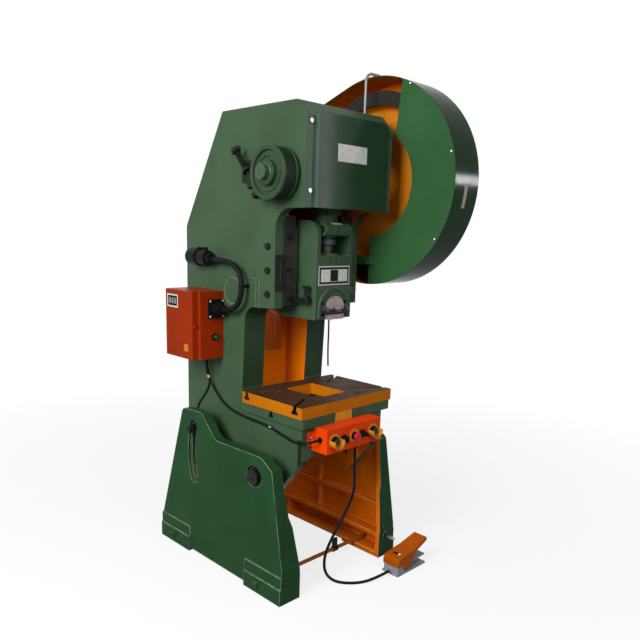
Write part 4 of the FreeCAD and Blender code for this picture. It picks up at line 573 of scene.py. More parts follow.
@dataclass(frozen=True)
class Metal:
    """Bare metal, with the lines of the tool that cut it, and paint in some places."""

    name: str
    colour: Colour
    roughness: float = 0.35
    lines: Spot = (1, 1, 1)
    line_tone: float = 0.72
    line_depth: float = 0.00006  # in metres
    stain: Colour = (0.16, 0.10, 0.07)
    stained: float = 0.35
    smoother: float = 0.07  # how far its roughness goes down and up
    rougher: float = 0.12
    metallic: float = 1.0
    shine: float = 0.3
    layers: tuple[Layer, ...] = ()

    def material(self) -> bpy.types.Material:
        """Builds the finished metal.

        Returns:
            The new material.
        """
        sheet = Shader(f"{self.name}_skin")
        cut = replace(TOOL_MARKS, stretch=self.lines)
        dark = tuple(part * self.line_tone for part in self.colour)
        bright = sheet.blend(sheet.patches(cut), self.colour, dark)
        colour = sheet.blend(sheet.patches(STAINS, 0.0, self.stained), bright, self.stain)
        metallic: object = self.metallic
        for layer in self.layers:
            share = layer.share(sheet)
            colour = sheet.blend(share, colour, layer.colour)
            metallic = sheet.spread(share, 0.0, 1.0, self.metallic, 0.0)
        rough = sheet.patches(HANDLED, self.roughness - self.smoother, self.roughness + self.rougher)
        sheet.put(Base_Color=colour, Roughness=rough, Metallic=metallic, Specular_IOR_Level=self.shine)
        sheet.bump(sheet.noise(cut), self.line_depth)
        return sheet.material


@dataclass(frozen=True)
class Moulded:
    """Plastic or rubber straight from its mould."""

    name: str
    colour: Colour
    roughness: float = 0.45
    smoother: float = 0.05  # how far its roughness goes down and up
    rougher: float = 0.1
    dull: float = 0.8  # tone of its dull patches, and what they gain in brightness
    haze: float = 0.004
    grain: float = 0.00005  # in metres
    shine: float = 0.15

    def material(self) -> bpy.types.Material:
        """Builds the finished plastic.

        Returns:
            The new material.
        """
        sheet = Shader(f"{self.name}_skin")
        dull = tuple(part * self.dull + self.haze for part in self.colour)
        colour = sheet.blend(sheet.patches(MOULD_TONES), self.colour, dull)
        rough = sheet.patches(MOULD_PATCHES, self.roughness - self.smoother, self.roughness + self.rougher)
        sheet.put(Base_Color=colour, Roughness=rough, Specular_IOR_Level=self.shine)
        sheet.bump(sheet.noise(MOULD_GRAIN), self.grain)
        return sheet.material


LEAF: Colour = (0.042, 0.094, 0.044)
# the legs' green, darker than the frame's: partly their own paint, partly painted shade where less light
# falls lower down
DEEP_LEAF: Colour = (0.015, 0.058, 0.020)
FRAME_LEAF: Colour = (0.046, 0.088, 0.046)
SOOT: Colour = (0.022, 0.020, 0.018)
RUST: Colour = (0.80, 0.180, 0.003)
GROUND_TOP: Colour = (0.058, 0.025, 0.012)

# Where the castings keep their primer: through the throat, and the hollows of rear, bed and head.
HOLLOWS = Layer(RUST, (
    Zone(side=(None, THROAT_SIDE + SKIN), back=(-160, 200), up=(789, 1561)),
    Zone(side=(None, WALL_INSIDE + SKIN), back=(94, 382.5), up=(400, 1994)),
    Zone(side=(None, WALL_INSIDE + SKIN), back=(-406, 200), up=(380, 745.5)),
    Zone(side=(None, WALL_INSIDE + SKIN), back=(-370, 94), up=(1561, 1994)),
    Zone(side=(None, WALL_INSIDE + SKIN), back=(-400, -370), up=(1561, 1945)),
))
HEAD_FLANGE = Layer((0.045, 0.056, 0.055), (
    Zone(side=(205, None), back=(-418, -416.5), up=(1560, 1960)),))
BACK_SLOPE = Layer(FRAME_LEAF, (Line((383, 1540), (106, 2018), inset=-2),))
# painted shade on the columns' front faces, which lie in the shadow of the head
COLUMN_FRONT_SHADE = Layer((0.027, 0.055, 0.026), (
    Zone(side=(None, 249), back=(-57, -33), up=(840, 1140)),
    Zone(side=(None, 249), back=(-160, -33), up=(1140, 1212)),
))
# painted shade: a dark strip along the wall's front edge under the bed
WALL_EDGE_SHADE = Layer((0.012, 0.022, 0.013), (Zone(back=(-429, -406), up=(480, 690)),))
# painted shade on the box's rim behind the door's edge, a darkened copy of its red
BOX_SEAM_SHADE = Layer((0.03, 0.004, 0.002), (Zone(side=(382, None)),))
LEG_OUTLINE: tuple[Pair, ...] = (
    (-450, 0), (-450, 144), (-377, 571), (-307, 612), (8, 608), (112, 714), (262, 706), (450, 112), (450, 0))
LEG_INSIDE = Layer(RUST, (InsideOutline(LEG_OUTLINE, hollow_corner=4, side_to=LEG_FACE),))
# painted sheen: the cover's side faces are painted a lighter, greyer green
COVER_SIDE_SHEEN = Layer((0.062, 0.098, 0.072), (Zone(side=(206.2, None)),))
GUARD_INSIDE = Layer(RUST, (InsideDrum(CRANK_BACK, CRANK_HEIGHT, wide=(272.9, 439.1)),))
# painted shade: the guard's rim is painted darker than its sides, where it faces away from the light
GUARD_RIM_SHADE = Layer((0.013, 0.036, 0.015), (OutsideRadius(CRANK_BACK, CRANK_HEIGHT, 445),))
FLYWHEEL_RIM = Layer(SOOT, (OutsideRadius(CRANK_BACK, CRANK_HEIGHT, 330),))
# painted reflection: a pale streak across the guard's rim
RIM_GLARE = Layer((0.42, 0.30, 0.29), (
    Zone(wide=(343, 365), back=(-735, -715), up=(1642, 1730)),))
BOLSTER_TOP = Layer(GROUND_TOP, (
    Zone(up=(837.7, None)),
    Zone(wide=(-278, -102), back=(-455, -79)),
    Zone(wide=(72, 278), back=(-455, -79)),
    Zone(wide=(-110, 80), back=(-455, -369)),
    Zone(wide=(-110, 80), back=(-155, -79)),
))
TIE_ROD_ENDS = Layer(DEEP_LEAF, (Zone(side=(LEG_FACE, None)),))
SHAFT_ENDS = Layer((0.036, 0.068, 0.036), (Zone(side=(259, None)),))
CLAMP_STUDS = Layer((0.045, 0.035, 0.038), (
    Zone(side=(48.5, None)),
    Zone(side=(None, 48.6), up=(1188, 1212)),
))


def door_window(face: float = 404.0) -> tuple[Layer, ...]:
    """The window and the lamp on the control box's door.

    Args:
        face: from how far out the door is coloured, in millimetres.

    Returns:
        The rim, the glass, three pale bars and the lamp, one over the other.
    """
    rim = Zone(side=(face, None), back=(229, 315), up=(1180, 1239))
    glass = Zone(side=(face, None), back=(236, 308), up=(1187, 1232))
    bars = tuple(Zone(side=(face, None), back=(start, start + 14), up=(1197, 1222))
                 for start in (244, 265, 286))
    lamp = Zone(side=(face, None), back=(152, 184), up=(992, 1024))
    return (Layer((0.55, 0.55, 0.52), (rim,)), Layer((0.012, 0.013, 0.015), (glass,)),
            Layer((0.22, 0.24, 0.25), bars), Layer((0.48, 0.20, 0.02), (lamp,)))


class Finish(Enum):
    """Every finish on the press."""

    GREEN = Paint("green_gloss", LEAF)
    FRAME = Paint("frame_green_orange", FRAME_LEAF,
                  layers=(COLUMN_FRONT_SHADE, HOLLOWS, HEAD_FLANGE, BACK_SLOPE, WALL_EDGE_SHADE))
    DRUM = Paint("drum_green", (0.028, 0.056, 0.028), shine=0.1, wear_and_highlight=0.8)
    LEG = Paint("leg_green_orange", DEEP_LEAF, shine=0.03, coat=0.0, wear_and_highlight=1.0, bare_and_highlight=0.3, edge=0.005,
                layers=(LEG_INSIDE,))
    TIE_ROD = Paint("tie_rod_orange", (0.36, 0.10, 0.008), layers=(TIE_ROD_ENDS,))
    SLIDE = Paint("slide_green", (0.046, 0.088, 0.048), wear_and_highlight=0.8, edge=0.004)
    CAST_EDGE = Paint("cast_edge_green", FRAME_LEAF, wear_and_highlight=1.0, bare_and_highlight=0.25, edge=0.004)
    BAND = Paint("brake_band_dark", (0.015, 0.025, 0.014), shine=0.04)
    FLYWHEEL = Paint("flywheel_orange", (0.60, 0.19, 0.008), roughness=0.42, layers=(FLYWHEEL_RIM,))
    GUARD = Paint("guard_green", (0.030, 0.094, 0.034), roughness=0.16, uneven=0.05, coat=0.0, shine=0.03,
                  grain=0.00008, layers=(GUARD_RIM_SHADE, RIM_GLARE, GUARD_INSIDE))
    RED = SwitchPaint("switch_red", (0.28, 0.023, 0.002), layers=(BOX_SEAM_SHADE,))
    DOOR = SwitchPaint("door_red", (0.26, 0.022, 0.0015), layers=door_window())
    PANEL_RED = SwitchPaint("panel_red", (0.78, 0.055, 0.002))
    COVER = Paint("cover_gloss", (0.019, 0.047, 0.022), roughness=0.13, uneven=0.06, coat=0.08, grain=0.00008,
                  layers=(COVER_SIDE_SHEEN,))
    BOLSTER = Paint("bolster_yellow", (0.49, 0.145, 0.002), roughness=0.5, coat=0.0, shine=0.04, dust=0.01,
                    layers=(BOLSTER_TOP,))
    SAFETY = Paint("pedal_orange", (0.40, 0.080, 0.001), roughness=0.35, coat=0.0, shine=0.03, dust=0.01)
    PEDAL_GREY = Paint("pedal_grey", (0.27, 0.28, 0.30), roughness=0.45)
    BRIGHT = Metal("bright_steel", (0.55, 0.55, 0.54), 0.3, (14, 1, 1))
    SHAFT = Metal("shaft_steel", (0.45, 0.44, 0.42), 0.3, (14, 1, 1), layers=(SHAFT_ENDS,))
    CLAMP_FACE = Metal("turned_clamp", (0.30, 0.235, 0.25), 0.45, stained=0.2, metallic=0.3,
                       layers=(CLAMP_STUDS,))
    DARK = Metal("dark_steel", (0.085, 0.085, 0.09), 0.4, (1, 1, 14), metallic=0.7)
    SCREW = Metal("screw_steel", (0.040, 0.052, 0.042), 0.35, (1, 1, 14), stained=0.2, metallic=0.3)
    STAY = Metal("stay_steel", (0.22, 0.22, 0.22), 0.4, (1, 1, 14), metallic=0.5)
    BLACKED = Metal("blacked_steel", (0.010, 0.010, 0.011), 0.42, stained=0.06, metallic=0.2, shine=0.12)
    GIB = Metal("gib_iron", (0.026, 0.023, 0.023), 0.5, (1, 1, 10), stained=0.2, metallic=0.1, shine=0.15)
    BRONZE = Metal("bearing_bronze", (0.46, 0.29, 0.12), 0.38, (1, 12, 1))
    IRON = Metal("motor_iron", (0.12, 0.14, 0.15), 0.5, metallic=0.15)
    PLATE = Metal("blank_plate", (0.60, 0.60, 0.58), 0.35, stained=0.1, metallic=0.1)
    LINING = Moulded("brake_lining", (0.10, 0.06, 0.04), 0.8)
    BLACK = Moulded("black_plastic", (0.0045, 0.0045, 0.005), 0.4, shine=0.08)
    RUBBER = Moulded("black_rubber", (0.0045, 0.0045, 0.005), 0.45, grain=0.0001, shine=0.08)
    YELLOW = Moulded("yellow_plastic", (0.56, 0.21, 0.014), 0.35)
    GREEN_CAP = Moulded("green_plastic", (0.004, 0.022, 0.015), 0.3)
    START_CAP = Moulded("start_green", (0.010, 0.13, 0.05), 0.3)
    RED_CAP = Moulded("red_plastic", (0.42, 0.008, 0.035), 0.3)
    TAG = Moulded("blank_tag", (0.54, 0.25, 0.02), 0.4)

    def made(self) -> bpy.types.Material:
        """The material, made once and then shared."""
        return bpy.data.materials.get(f"{self.value.name}_skin") or self.value.material()


# ---------------------------------------------------------------- makers
def point(at: Point) -> Vector:
    """A point given in millimetres, in metres."""
    return Vector(at) * MM


def hang(name: str, data: bpy.types.ID) -> bpy.types.Object:
    """Puts a mesh, a curve, a camera or a lamp into the scene.

    Args:
        name: the object's name.
        data: what it shows.

    Returns:
        The new object.
    """
    made = bpy.data.objects.new(name, data)
    bpy.context.collection.objects.link(made)
    return made


def dress(finish: Finish, *nodes: str) -> None:
    """Gives CAD nodes their finish.

    Args:
        finish: what covers them.
        nodes: names of the nodes.
    """
    for name in nodes:
        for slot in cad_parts[name].material_slots:
            slot.material = finish.made()
        LOG.info("%s wears %s", name, finish.value.name)


@dataclass(frozen=True)
class Piece:
    """A piece's name, its finish, the CAD body that it moves with and the width of its softened edges."""

    name: str
    finish: Finish
    body: str = PRESS
    bevel: float = 0.0


@dataclass(frozen=True)
class Workshop:
    """Makes meshes, dresses them and sets them on the press's bodies. Its sizes are in millimetres."""

    bevel_steps: int = 2
    sharp: float = math.radians(32)
    wire_sides: int = 5
    wire_steps: int = 10
    dome: tuple[Pair, ...] = ((0, 5), (2, 4.6), (3, 2.5), (3, 0))  # a screw's head: out, and its radius

    def finish(self, piece: Piece, shape: bmesh.types.BMesh) -> None:
        """Turns a built shape into a piece of the press.

        Args:
            piece: the piece.
            shape: what was built, in metres.
        """
        bmesh.ops.recalc_face_normals(shape, faces=shape.faces)
        mesh = bpy.data.meshes.new(piece.name)
        shape.to_mesh(mesh)
        shape.free()
        for face in mesh.polygons:
            face.use_smooth = True
        made = self.mount(piece, mesh)
        if piece.bevel:
            edge = made.modifiers.new("edge", "BEVEL")
            edge.width = piece.bevel * MM
            edge.segments = self.bevel_steps
            edge.limit_method = "ANGLE"
            edge.angle_limit = self.sharp
            edge.harden_normals = True
        else:
            mesh.set_sharp_from_angle(angle=self.sharp)

    def mount(self, piece: Piece, data: bpy.types.ID) -> bpy.types.Object:
        """Covers a mesh or a curve and sets it on its body.

        Args:
            piece: the piece.
            data: its mesh or curve.

        Returns:
            The new object.
        """
        made = hang(piece.name, data)
        data.materials.append(piece.finish.made())
        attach(made, piece.body)
        LOG.info("%s on %s", piece.name, piece.body)
        return made

    def block(self, piece: Piece, low: Point, high: Point) -> None:
        """A rectangular piece.

        Args:
            piece: the piece.
            low: its lowest corner.
            high: its highest corner.
        """
        shape = bmesh.new()
        bmesh.ops.create_cube(shape, size=1.0)
        first, last = point(low), point(high)
        for vert in shape.verts:
            vert.co = Vector(((first + last) / 2)[i] + vert.co[i] * (last - first)[i] for i in range(3))
        self.finish(piece, shape)

    def turned(self, piece: Piece, start: Point, way: Point, profile: Sequence[Pair], sides: int) -> None:
        """A piece turned on a lathe.

        Args:
            piece: the piece.
            start: where its axis starts.
            way: the axis's direction.
            profile: pairs of distance along the axis and radius.
            sides: how many sides the circle has.
        """
        shape = bmesh.new()
        axis = Vector(way).normalized()
        turn = axis.to_track_quat("Z", "Y").to_matrix()
        angles = [2 * math.pi * index / sides for index in range(sides)]
        rings = []
        for along, radius in profile:
            spokes = [turn @ Vector((math.cos(angle), math.sin(angle), 0)) for angle in angles]
            if radius <= 0:
                spokes = spokes[:1]
            middle = point(start) + axis * along * MM
            rings.append([shape.verts.new(middle + spoke * radius * MM) for spoke in spokes])
        for first, second in zip(rings, rings[1:]):
            for index in range(sides):
                after = (index + 1) % sides
                corners = [first[index % len(first)], second[index % len(second)],
                           second[after % len(second)], first[after % len(first)]]
                shape.faces.new(list(dict.fromkeys(corners)))
        for ring in (rings[0], rings[-1]):
            if len(ring) > 1:
                shape.faces.new(ring)
        self.finish(piece, shape)

    def dome_screw(self, piece: Piece, at: Point, way: Point, sides: int) -> None:
        """The low round head of a screw."""
        self.turned(piece, at, way, self.dome, sides)

    def plate(self, piece: Piece, origin: Point, up: Point, outline: Sequence[Pair], thick: float) -> None:
        """A flat piece cut to an outline, whose first number runs along X.

        Args:
            piece: the piece.
            origin: where the outline's zero lies.
            up: direction of the outline's second number.
            outline: its corners.
            thick: its thickness, towards the side that X and up turn to.
        """
        first, second = Vector((1, 0, 0)), Vector(up).normalized()
        out = first.cross(second) * thick * MM
        shape = bmesh.new()
        low = [shape.verts.new(point(origin) + (first * a + second * b) * MM) for a, b in outline]
        high = [shape.verts.new(vert.co + out) for vert in low]
        shape.faces.new(low)
        shape.faces.new(high)
        for index in range(len(low)):
            after = (index + 1) % len(low)
            shape.faces.new((low[index], low[after], high[after], high[index]))
        self.finish(piece, shape)

    def tube(self, piece: Piece, points: Sequence[Point], radius: float) -> bpy.types.Object:
        """A wire or cable that runs smoothly past its points, as a curve.

        Args:
            piece: the piece.
            points: its control points.
            radius: half its thickness, or 0 for its centre line alone.

        Returns:
            The new curve object.
        """
        line = bpy.data.curves.new(piece.name, "CURVE")
        line.dimensions = "3D"
        line.bevel_depth = radius * MM
        line.bevel_resolution = self.wire_sides
        line.resolution_u = self.wire_steps
        line.use_fill_caps = radius > 0
        run = line.splines.new("NURBS")
        run.points.add(len(points) - 1)
        for spot, at in zip(run.points, points):
            spot.co = (*point(at), 1.0)
        run.order_u = 3
        run.use_endpoint_u = True
        return self.mount(piece, line)


SHOP = Workshop()


# ---------------------------------------------------------------- sub-assemblies
@dataclass
class PlainParts:
    """The parts that need a finish and nothing else."""

    finishes: dict[Finish, tuple[str, ...]] = field(default_factory=lambda: {
        Finish.GREEN: ("connecting_rod", "motor_bracket"),
        Finish.DRUM: ("brake_drum",),
        Finish.BAND: ("brake_band", "brake_bracket"),
        Finish.SLIDE: ("slide", "ball_socket"),
        Finish.CLAMP_FACE: ("shank_clamp",),
        Finish.GUARD: ("belt_guard",),
        Finish.COVER: ("head_cover",),
        Finish.FLYWHEEL: ("flywheel",),
        Finish.RED: ("control_box",),
        Finish.DOOR: ("control_door",),
        Finish.PANEL_RED: ("button_box",),
        Finish.SAFETY: ("foot_switch_hood",),
        Finish.PEDAL_GREY: ("foot_switch_base", "foot_pedal"),
        Finish.GIB: ("gib_plates",),
        Finish.BRIGHT: ("cover_screws",),
        Finish.SHAFT: ("crankshaft",),
        Finish.DARK: ("motor_pulley",),
        Finish.SCREW: ("adjusting_screw",),
        Finish.STAY: ("guard_stay",),
        Finish.BLACKED: ("rod_clamp_bolt", "gib_screws", "brake_spring", "brake_rod", "knockout_stops",
                         "height_scale"),
        Finish.BRONZE: ("gibs", "crank_bushes"),
        Finish.IRON: ("motor", "contactor_panel"),
        Finish.LINING: ("brake_lining",),
        Finish.BLACK: ("box_socket", "motor_plug", "cable_fittings", "button_bezels", "selector_knob",
                       "key_switch_knob"),
        Finish.RUBBER: ("v_belts",),
        Finish.YELLOW: ("yellow_guards",),
        Finish.START_CAP: ("start_button",),
        Finish.GREEN_CAP: ("left_palm_button", "right_palm_button"),
        Finish.RED_CAP: ("estop_button",),
    })

    def build(self) -> None:
        """Dresses them all."""
        for finish, nodes in self.finishes.items():
            dress(finish, *nodes)


@dataclass
class Stand:
    """The two legs, their tie rods and the earth bolt with its wire."""

    bolt_spot: Spot = (303.0, -450.0, 106.0)
    bolt_length: float = 58.0
    bolt_radius: float = 8.0
    chamfer: float = 2.0
    washer_radius: float = 15.0
    washer_thick: float = 3.0
    nut_radius: float = 14.0
    nut_thick: float = 12.0
    wire_radius: float = 2.0
    wire: tuple[Spot, ...] = (
        (303, -456, 119), (294, -462, 121), (286, -462, 134), (282, -456, 152), (280, -451.8, 172))

    def build(self) -> None:
        """Dresses the legs and adds the earth bolt with its wire."""
        dress(Finish.LEG, "left_leg", "right_leg")
        dress(Finish.TIE_ROD, "tie_rods")
        dress(Finish.GREEN, "tie_rod_nuts")
        dress(Finish.BLACKED, "tie_rod_clamp")
        self.earth_bolt()
        SHOP.tube(Piece("earth_wire", Finish.LINING, STAND), self.wire, self.wire_radius)

    def earth_bolt(self) -> None:
        """Adds the bolt with its washer, and its six-sided nut."""
        x, y, z = self.bolt_spot
        radius, length, washer = self.bolt_radius, self.bolt_length, self.washer_thick
        SHOP.turned(Piece("earth_bolt", Finish.BRIGHT, STAND, bevel=0.3), self.bolt_spot, FORWARD, [
            (0, self.washer_radius), (washer, self.washer_radius), (washer, radius),
            (length - self.chamfer, radius), (length, radius - self.chamfer)], sides=48)
        SHOP.turned(Piece("earth_nut", Finish.BLACKED, STAND, bevel=0.8), (x, y - washer, z), FORWARD,
                    [(0, self.nut_radius), (self.nut_thick, self.nut_radius)], sides=6)


@dataclass
class Frame:
    """The cast frame with its cast marks, its blank bed plate, tilt bolts and bolster."""

    plug_back: float = 33.0
    plug_height: float = 1266.0
    plug_radius: float = 60.0
    plug_out: float = 0.9
    bead: tuple[Pair, ...] = ((0, 2), (1.8, 1), (2.4, -1), (1.8, -3), (0.9, -4))  # out, and past the radius
    strip_out: float = 2.5
    strip_wide: float = 4.0
    strip_low: float = 1207.0
    strip_high: float = 1333.0
    strip_fronts: Pair = (-152.0, -130.0)
    strip_top: Pair = (-127.0, -70.0)
    bed_plate: tuple[Spot, Spot] = ((-82, -456, 746), (20, -455, 788))

    def build(self) -> None:
        """Dresses the frame, its bolts and its bolster, and adds the cast marks and the bed plate."""
        dress(Finish.FRAME, "frame")
        dress(Finish.BLACKED, "tilt_bolts", "bolster_bolts")
        dress(Finish.BOLSTER, "bolster")
        self.core_plug()
        self.cast_strips()
        SHOP.block(Piece("bed_plate", Finish.TAG, bevel=0.3), *self.bed_plate)

    def core_plug(self) -> None:
        """Adds the round plug with its raised bead on the frame's left side."""
        profile = [(out, self.plug_radius + past) for out, past in self.bead] + [(self.plug_out, 0)]
        SHOP.turned(Piece("core_plug", Finish.CAST_EDGE), (-FRAME_SIDE, self.plug_back, self.plug_height),
                    LEFT, profile, sides=72)

    def cast_strips(self) -> None:
        """Adds the two low strips cast on the frame's left side, and the one that closes them at the top."""
        front, back = self.strip_fronts
        for name, start, end, low in (
                ("cast_strip_front", front, front + self.strip_wide, self.strip_low),
                ("cast_strip_back", back, back + self.strip_wide, self.strip_low),
                ("cast_strip_top", *self.strip_top, self.strip_high - self.strip_wide)):
            SHOP.block(Piece(name, Finish.CAST_EDGE, bevel=0.5), (-FRAME_SIDE - self.strip_out, start, low),
                       (-FRAME_SIDE, end, self.strip_high))


@dataclass
class Head:
    """The blank plate on the cover and the small pieces round brake, shaft and guard."""

    cover_face: float = -437.0
    plate_thick: float = 0.9
    plate_low: Pair = (-101.0, 1802.0)
    plate_high: Pair = (69.0, 1868.0)
    rod_foot: Spot = (-299.0, -176.0, 1701.0)
    rod_way: Spot = (0.0, 0.655, 0.756)
    knob_at: float = 184.0
    knob_radius: float = 19.0
    knob_lobes: int = 6
    lobe_height: float = 4.0
    knob_thick: float = 16.0
    knob_sides: int = 48
    shaft_end: float = -371.6
    mark_apart: float = 9.0
    mark_radius: float = 3.2
    mark_out: float = 0.8
    guard_side: float = 270.0
    guard_screws: tuple[Pair, ...] = ((-480, 2142), (-704, 1860), (-650, 1514))

    def build(self) -> None:
        """Adds the plate, the star knob, the shaft's centre marks and the guard's screws."""
        (left, low), (right, high) = self.plate_low, self.plate_high
        face = self.cover_face
        SHOP.block(Piece("cover_plate", Finish.PLATE, bevel=0.3), (left, face - self.plate_thick, low),
                   (right, face, high))
        self.knob()
        for index, up in enumerate((-self.mark_apart, self.mark_apart)):
            SHOP.turned(Piece(f"shaft_mark_{index}", Finish.BLACKED, "crank"),
                        (self.shaft_end, CRANK_BACK, CRANK_HEIGHT + up), LEFT,
                        [(0, self.mark_radius), (self.mark_out, self.mark_radius)], sides=20)
        for index, (back, height) in enumerate(self.guard_screws):
            SHOP.dome_screw(Piece(f"guard_screw_{index}", Finish.BRIGHT), (self.guard_side, back, height),
                            LEFT, sides=24)

    def knob(self) -> None:
        """Adds the star knob that sets the brake's spring."""
        start = Vector(self.rod_foot) + Vector(self.rod_way) * self.knob_at
        outline = []
        for step in range(self.knob_sides):
            angle = 2 * math.pi * step / self.knob_sides
            reach = self.knob_radius + self.lobe_height * math.cos(self.knob_lobes * angle)
            outline.append((reach * math.cos(angle), reach * math.sin(angle)))
        up = (0, self.rod_way[2], -self.rod_way[1])
        SHOP.plate(Piece("brake_star_knob", Finish.BAND, bevel=1.5), start, up, outline, self.knob_thick)


@dataclass
class Ram:
    """The blank framed plate and the clamp bar on the slide, and the blank label on the connecting rod."""

    sheets: tuple[tuple[str, float, Finish], ...] = (
        ("slide_plate_rim", 0, Finish.PLATE), ("slide_plate_border", 5, Finish.BLACK),
        ("slide_plate_field", 14, Finish.PLATE))
    face: float = -342.0
    half: float = 94.0
    low: float = 1311.0
    high: float = 1391.0
    thin: float = 0.6  # thickness of the lowest sheet
    rise: float = 0.06  # how much thicker a sheet is for each millimetre that it is set in
    window: Pair = (-24.0, 22.0)
    window_inset: float = 16.0
    window_thick: float = 2.0
    label_at: Spot = (-4.0, -349.6, 1565.0)
    label_up: Spot = (0.0, 0.88, 0.475)
    label_half: Pair = (29.0, 8.0)
    label_thick: float = 1.0
    clamp_bar: tuple[Spot, Spot] = ((-76, -367, 1190), (76, -360.2, 1206))

    def build(self) -> None:
        """Adds the framed plate, the label and the clamp bar."""
        for name, inset, finish in self.sheets:
            thick = self.thin + inset * self.rise
            self.sheet(name, (inset - self.half, self.half - inset), inset, thick, finish)
        wide, tall = self.label_half
        corners = [(-wide, -tall), (wide, -tall), (wide, tall), (-wide, tall)]
        SHOP.plate(Piece("rod_clamp_label", Finish.PLATE, "connecting_rod", bevel=0.3), self.label_at,
                   self.label_up, corners, self.label_thick)
        SHOP.block(Piece("clamp_bar", Finish.BLACKED, SLIDE, bevel=1.5), *self.clamp_bar)
        self.sheet("slide_plate_window", self.window, self.window_inset, self.window_thick, Finish.BLACK)

    def sheet(self, name: str, sides: Pair, inset: float, thick: float, finish: Finish) -> None:
        """Adds one flat sheet of the framed plate.

        Args:
            name: the piece's name.
            sides: its left and right, in millimetres.
            inset: how far it is set in from the plate's top and bottom, in millimetres.
            thick: how far it stands out from the slide, in millimetres.
            finish: what it is covered with.
        """
        left, right = sides
        SHOP.block(Piece(name, finish, SLIDE, bevel=0.2), (left, self.face - thick, self.low + inset),
                   (right, self.face, self.high - inset))


@dataclass
class Switchgear:
    """Small pieces on the control box, the button box and their cables."""

    socket: Spot = (-292.0, 92.9, 1183.0)
    screw_out: float = 34.0
    ear_cap: Spot = (-221.0, -449.0, 707.0)
    cap_profile: tuple[Pair, ...] = ((0, 9), (5, 9), (7, 7), (7, 0))
    cap_face_out: float = 6.8
    cap_face_profile: tuple[Pair, ...] = ((0, 4.2), (1, 3.6), (1, 0))
    clip_radius: float = 6.6
    clip_half: float = 7.0
    clip_chamfer: float = 0.5
    clips: tuple[tuple[str, Spot, Spot], ...] = (
        ("panel_clip_high", (-281, 171.5, 862), (18, -8, -48)),
        ("panel_clip_low", (-256.8, -243, 707.5), (0, -1, -0.06)))

    def build(self) -> None:
        """Adds the socket's screws, the ear's cap and the cable clips."""
        x, y, z = self.socket
        for index, (across, up) in enumerate(((-1, -1), (-1, 1), (1, -1), (1, 1))):
            SHOP.dome_screw(Piece(f"socket_screw_{index}", Finish.PLATE),
                            (x + across * self.screw_out, y, z + up * self.screw_out), FORWARD, sides=20)
        x, y, z = self.ear_cap
        SHOP.turned(Piece("ear_cap", Finish.RED_CAP), self.ear_cap, FORWARD, self.cap_profile, sides=28)
        SHOP.turned(Piece("ear_cap_face", Finish.PLATE), (x, y - self.cap_face_out, z), FORWARD,
                    self.cap_face_profile, sides=20)
        half, radius, chamfer = self.clip_half, self.clip_radius, self.clip_chamfer
        collar = [(-half, radius - chamfer), (chamfer - half, radius), (half - chamfer, radius),
                  (half, radius - chamfer)]
        for name, centre, way in self.clips:
            SHOP.turned(Piece(name, Finish.BRIGHT), centre, way, collar, sides=24)


@dataclass
class Cable:
    """One cable on its route, in millimetres."""

    name: str
    node: str
    diameter: float
    length: float
    points: tuple[Spot, ...]

    def build(self) -> None:
        made = SHOP.tube(Piece(self.name, Finish.RUBBER), self.points, self.diameter / 2)
        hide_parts(self.node)


CABLES = (
    Cable("motor_conduit", "conduit", 24, 452, (
        (-290, 119.9, 1397), (-290, -10, 1399), (-290, -79, 1342), (-290, -79, 1248), (-292, -26, 1184),
        (-292, 44.9, 1183))),
    Cable("panel_lead", "panel_cable", 11, 848, (
        (-290, 176, 941.9), (-290, 176, 886), (-272, 168, 838), (-260, 140, 784), (-257, 84, 742),
        (-257, -6, 718), (-257, -120, 712), (-257, -230, 708), (-260, -320, 691), (-264, -392, 680),
        (-262, -440, 684), (-252, -468, 690), (-232, -482, 697), (-204.1, -482, 697))),
    Cable("branch_lead", "branch_cable", 8, 353, (
        (-262, 210, 943.9), (-262, 210, 898), (-256, 200, 852), (-254.2, 206, 800), (-254.2, 250, 746),
        (-254.2, 292, 702), (-254.2, 304, 660), (-254.2, 304, 624.1))),
    Cable("switch_lead", "switch_cable", 8, 356, (
        (257, -72, 1239.9), (258, -69, 1150), (257, -73, 1050), (258, -70, 960), (257, -76, 884))),
)


@dataclass
class FootCable:
    """The loose cable from the button box to the foot switch."""

    diameter: float = 13.0
    length: float = 955.0
    still_height: float = 0.1  # in metres: from here down it lies still
    points: tuple[Spot, ...] = (
        (14, -490, 624.9), (14, -489, 562), (32, -478, 478), (46, -466, 400), (20, -448, 312),
        (-22, -432, 232), (-58, -416, 156), (-74, -408, 88), (-78, -422, 34), (-66, -462, 7.2),
        (-36, -514, 6.6), (26, -560, 6.6), (98, -588, 20), (169.7, -590, 22))

    def laid(self, name: str, radius: float) -> bpy.types.Mesh:
        """The route as a mesh.

        Args:
            name: the name of the curve that it is made from.
            radius: half its thickness in millimetres, or 0 for its centre line alone.

        Returns:
            The mesh. The curve is gone again.
        """
        guide = SHOP.tube(Piece(name, Finish.RUBBER, STAND), self.points, radius)
        mesh = bpy.data.meshes.new_from_object(guide)
        bpy.data.objects.remove(guide)
        return mesh

    def build(self) -> None:
        line = [vert.co.copy() for vert in self.laid("foot_cable_guide", 0.0).vertices]
        made = hang("foot_switch_lead", self.laid("foot_cable_tube", self.diameter / 2))
        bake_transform(made)
        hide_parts("foot_cable")
        LOG.info("foot_switch_lead bends between %s and %s", PRESS, STAND)


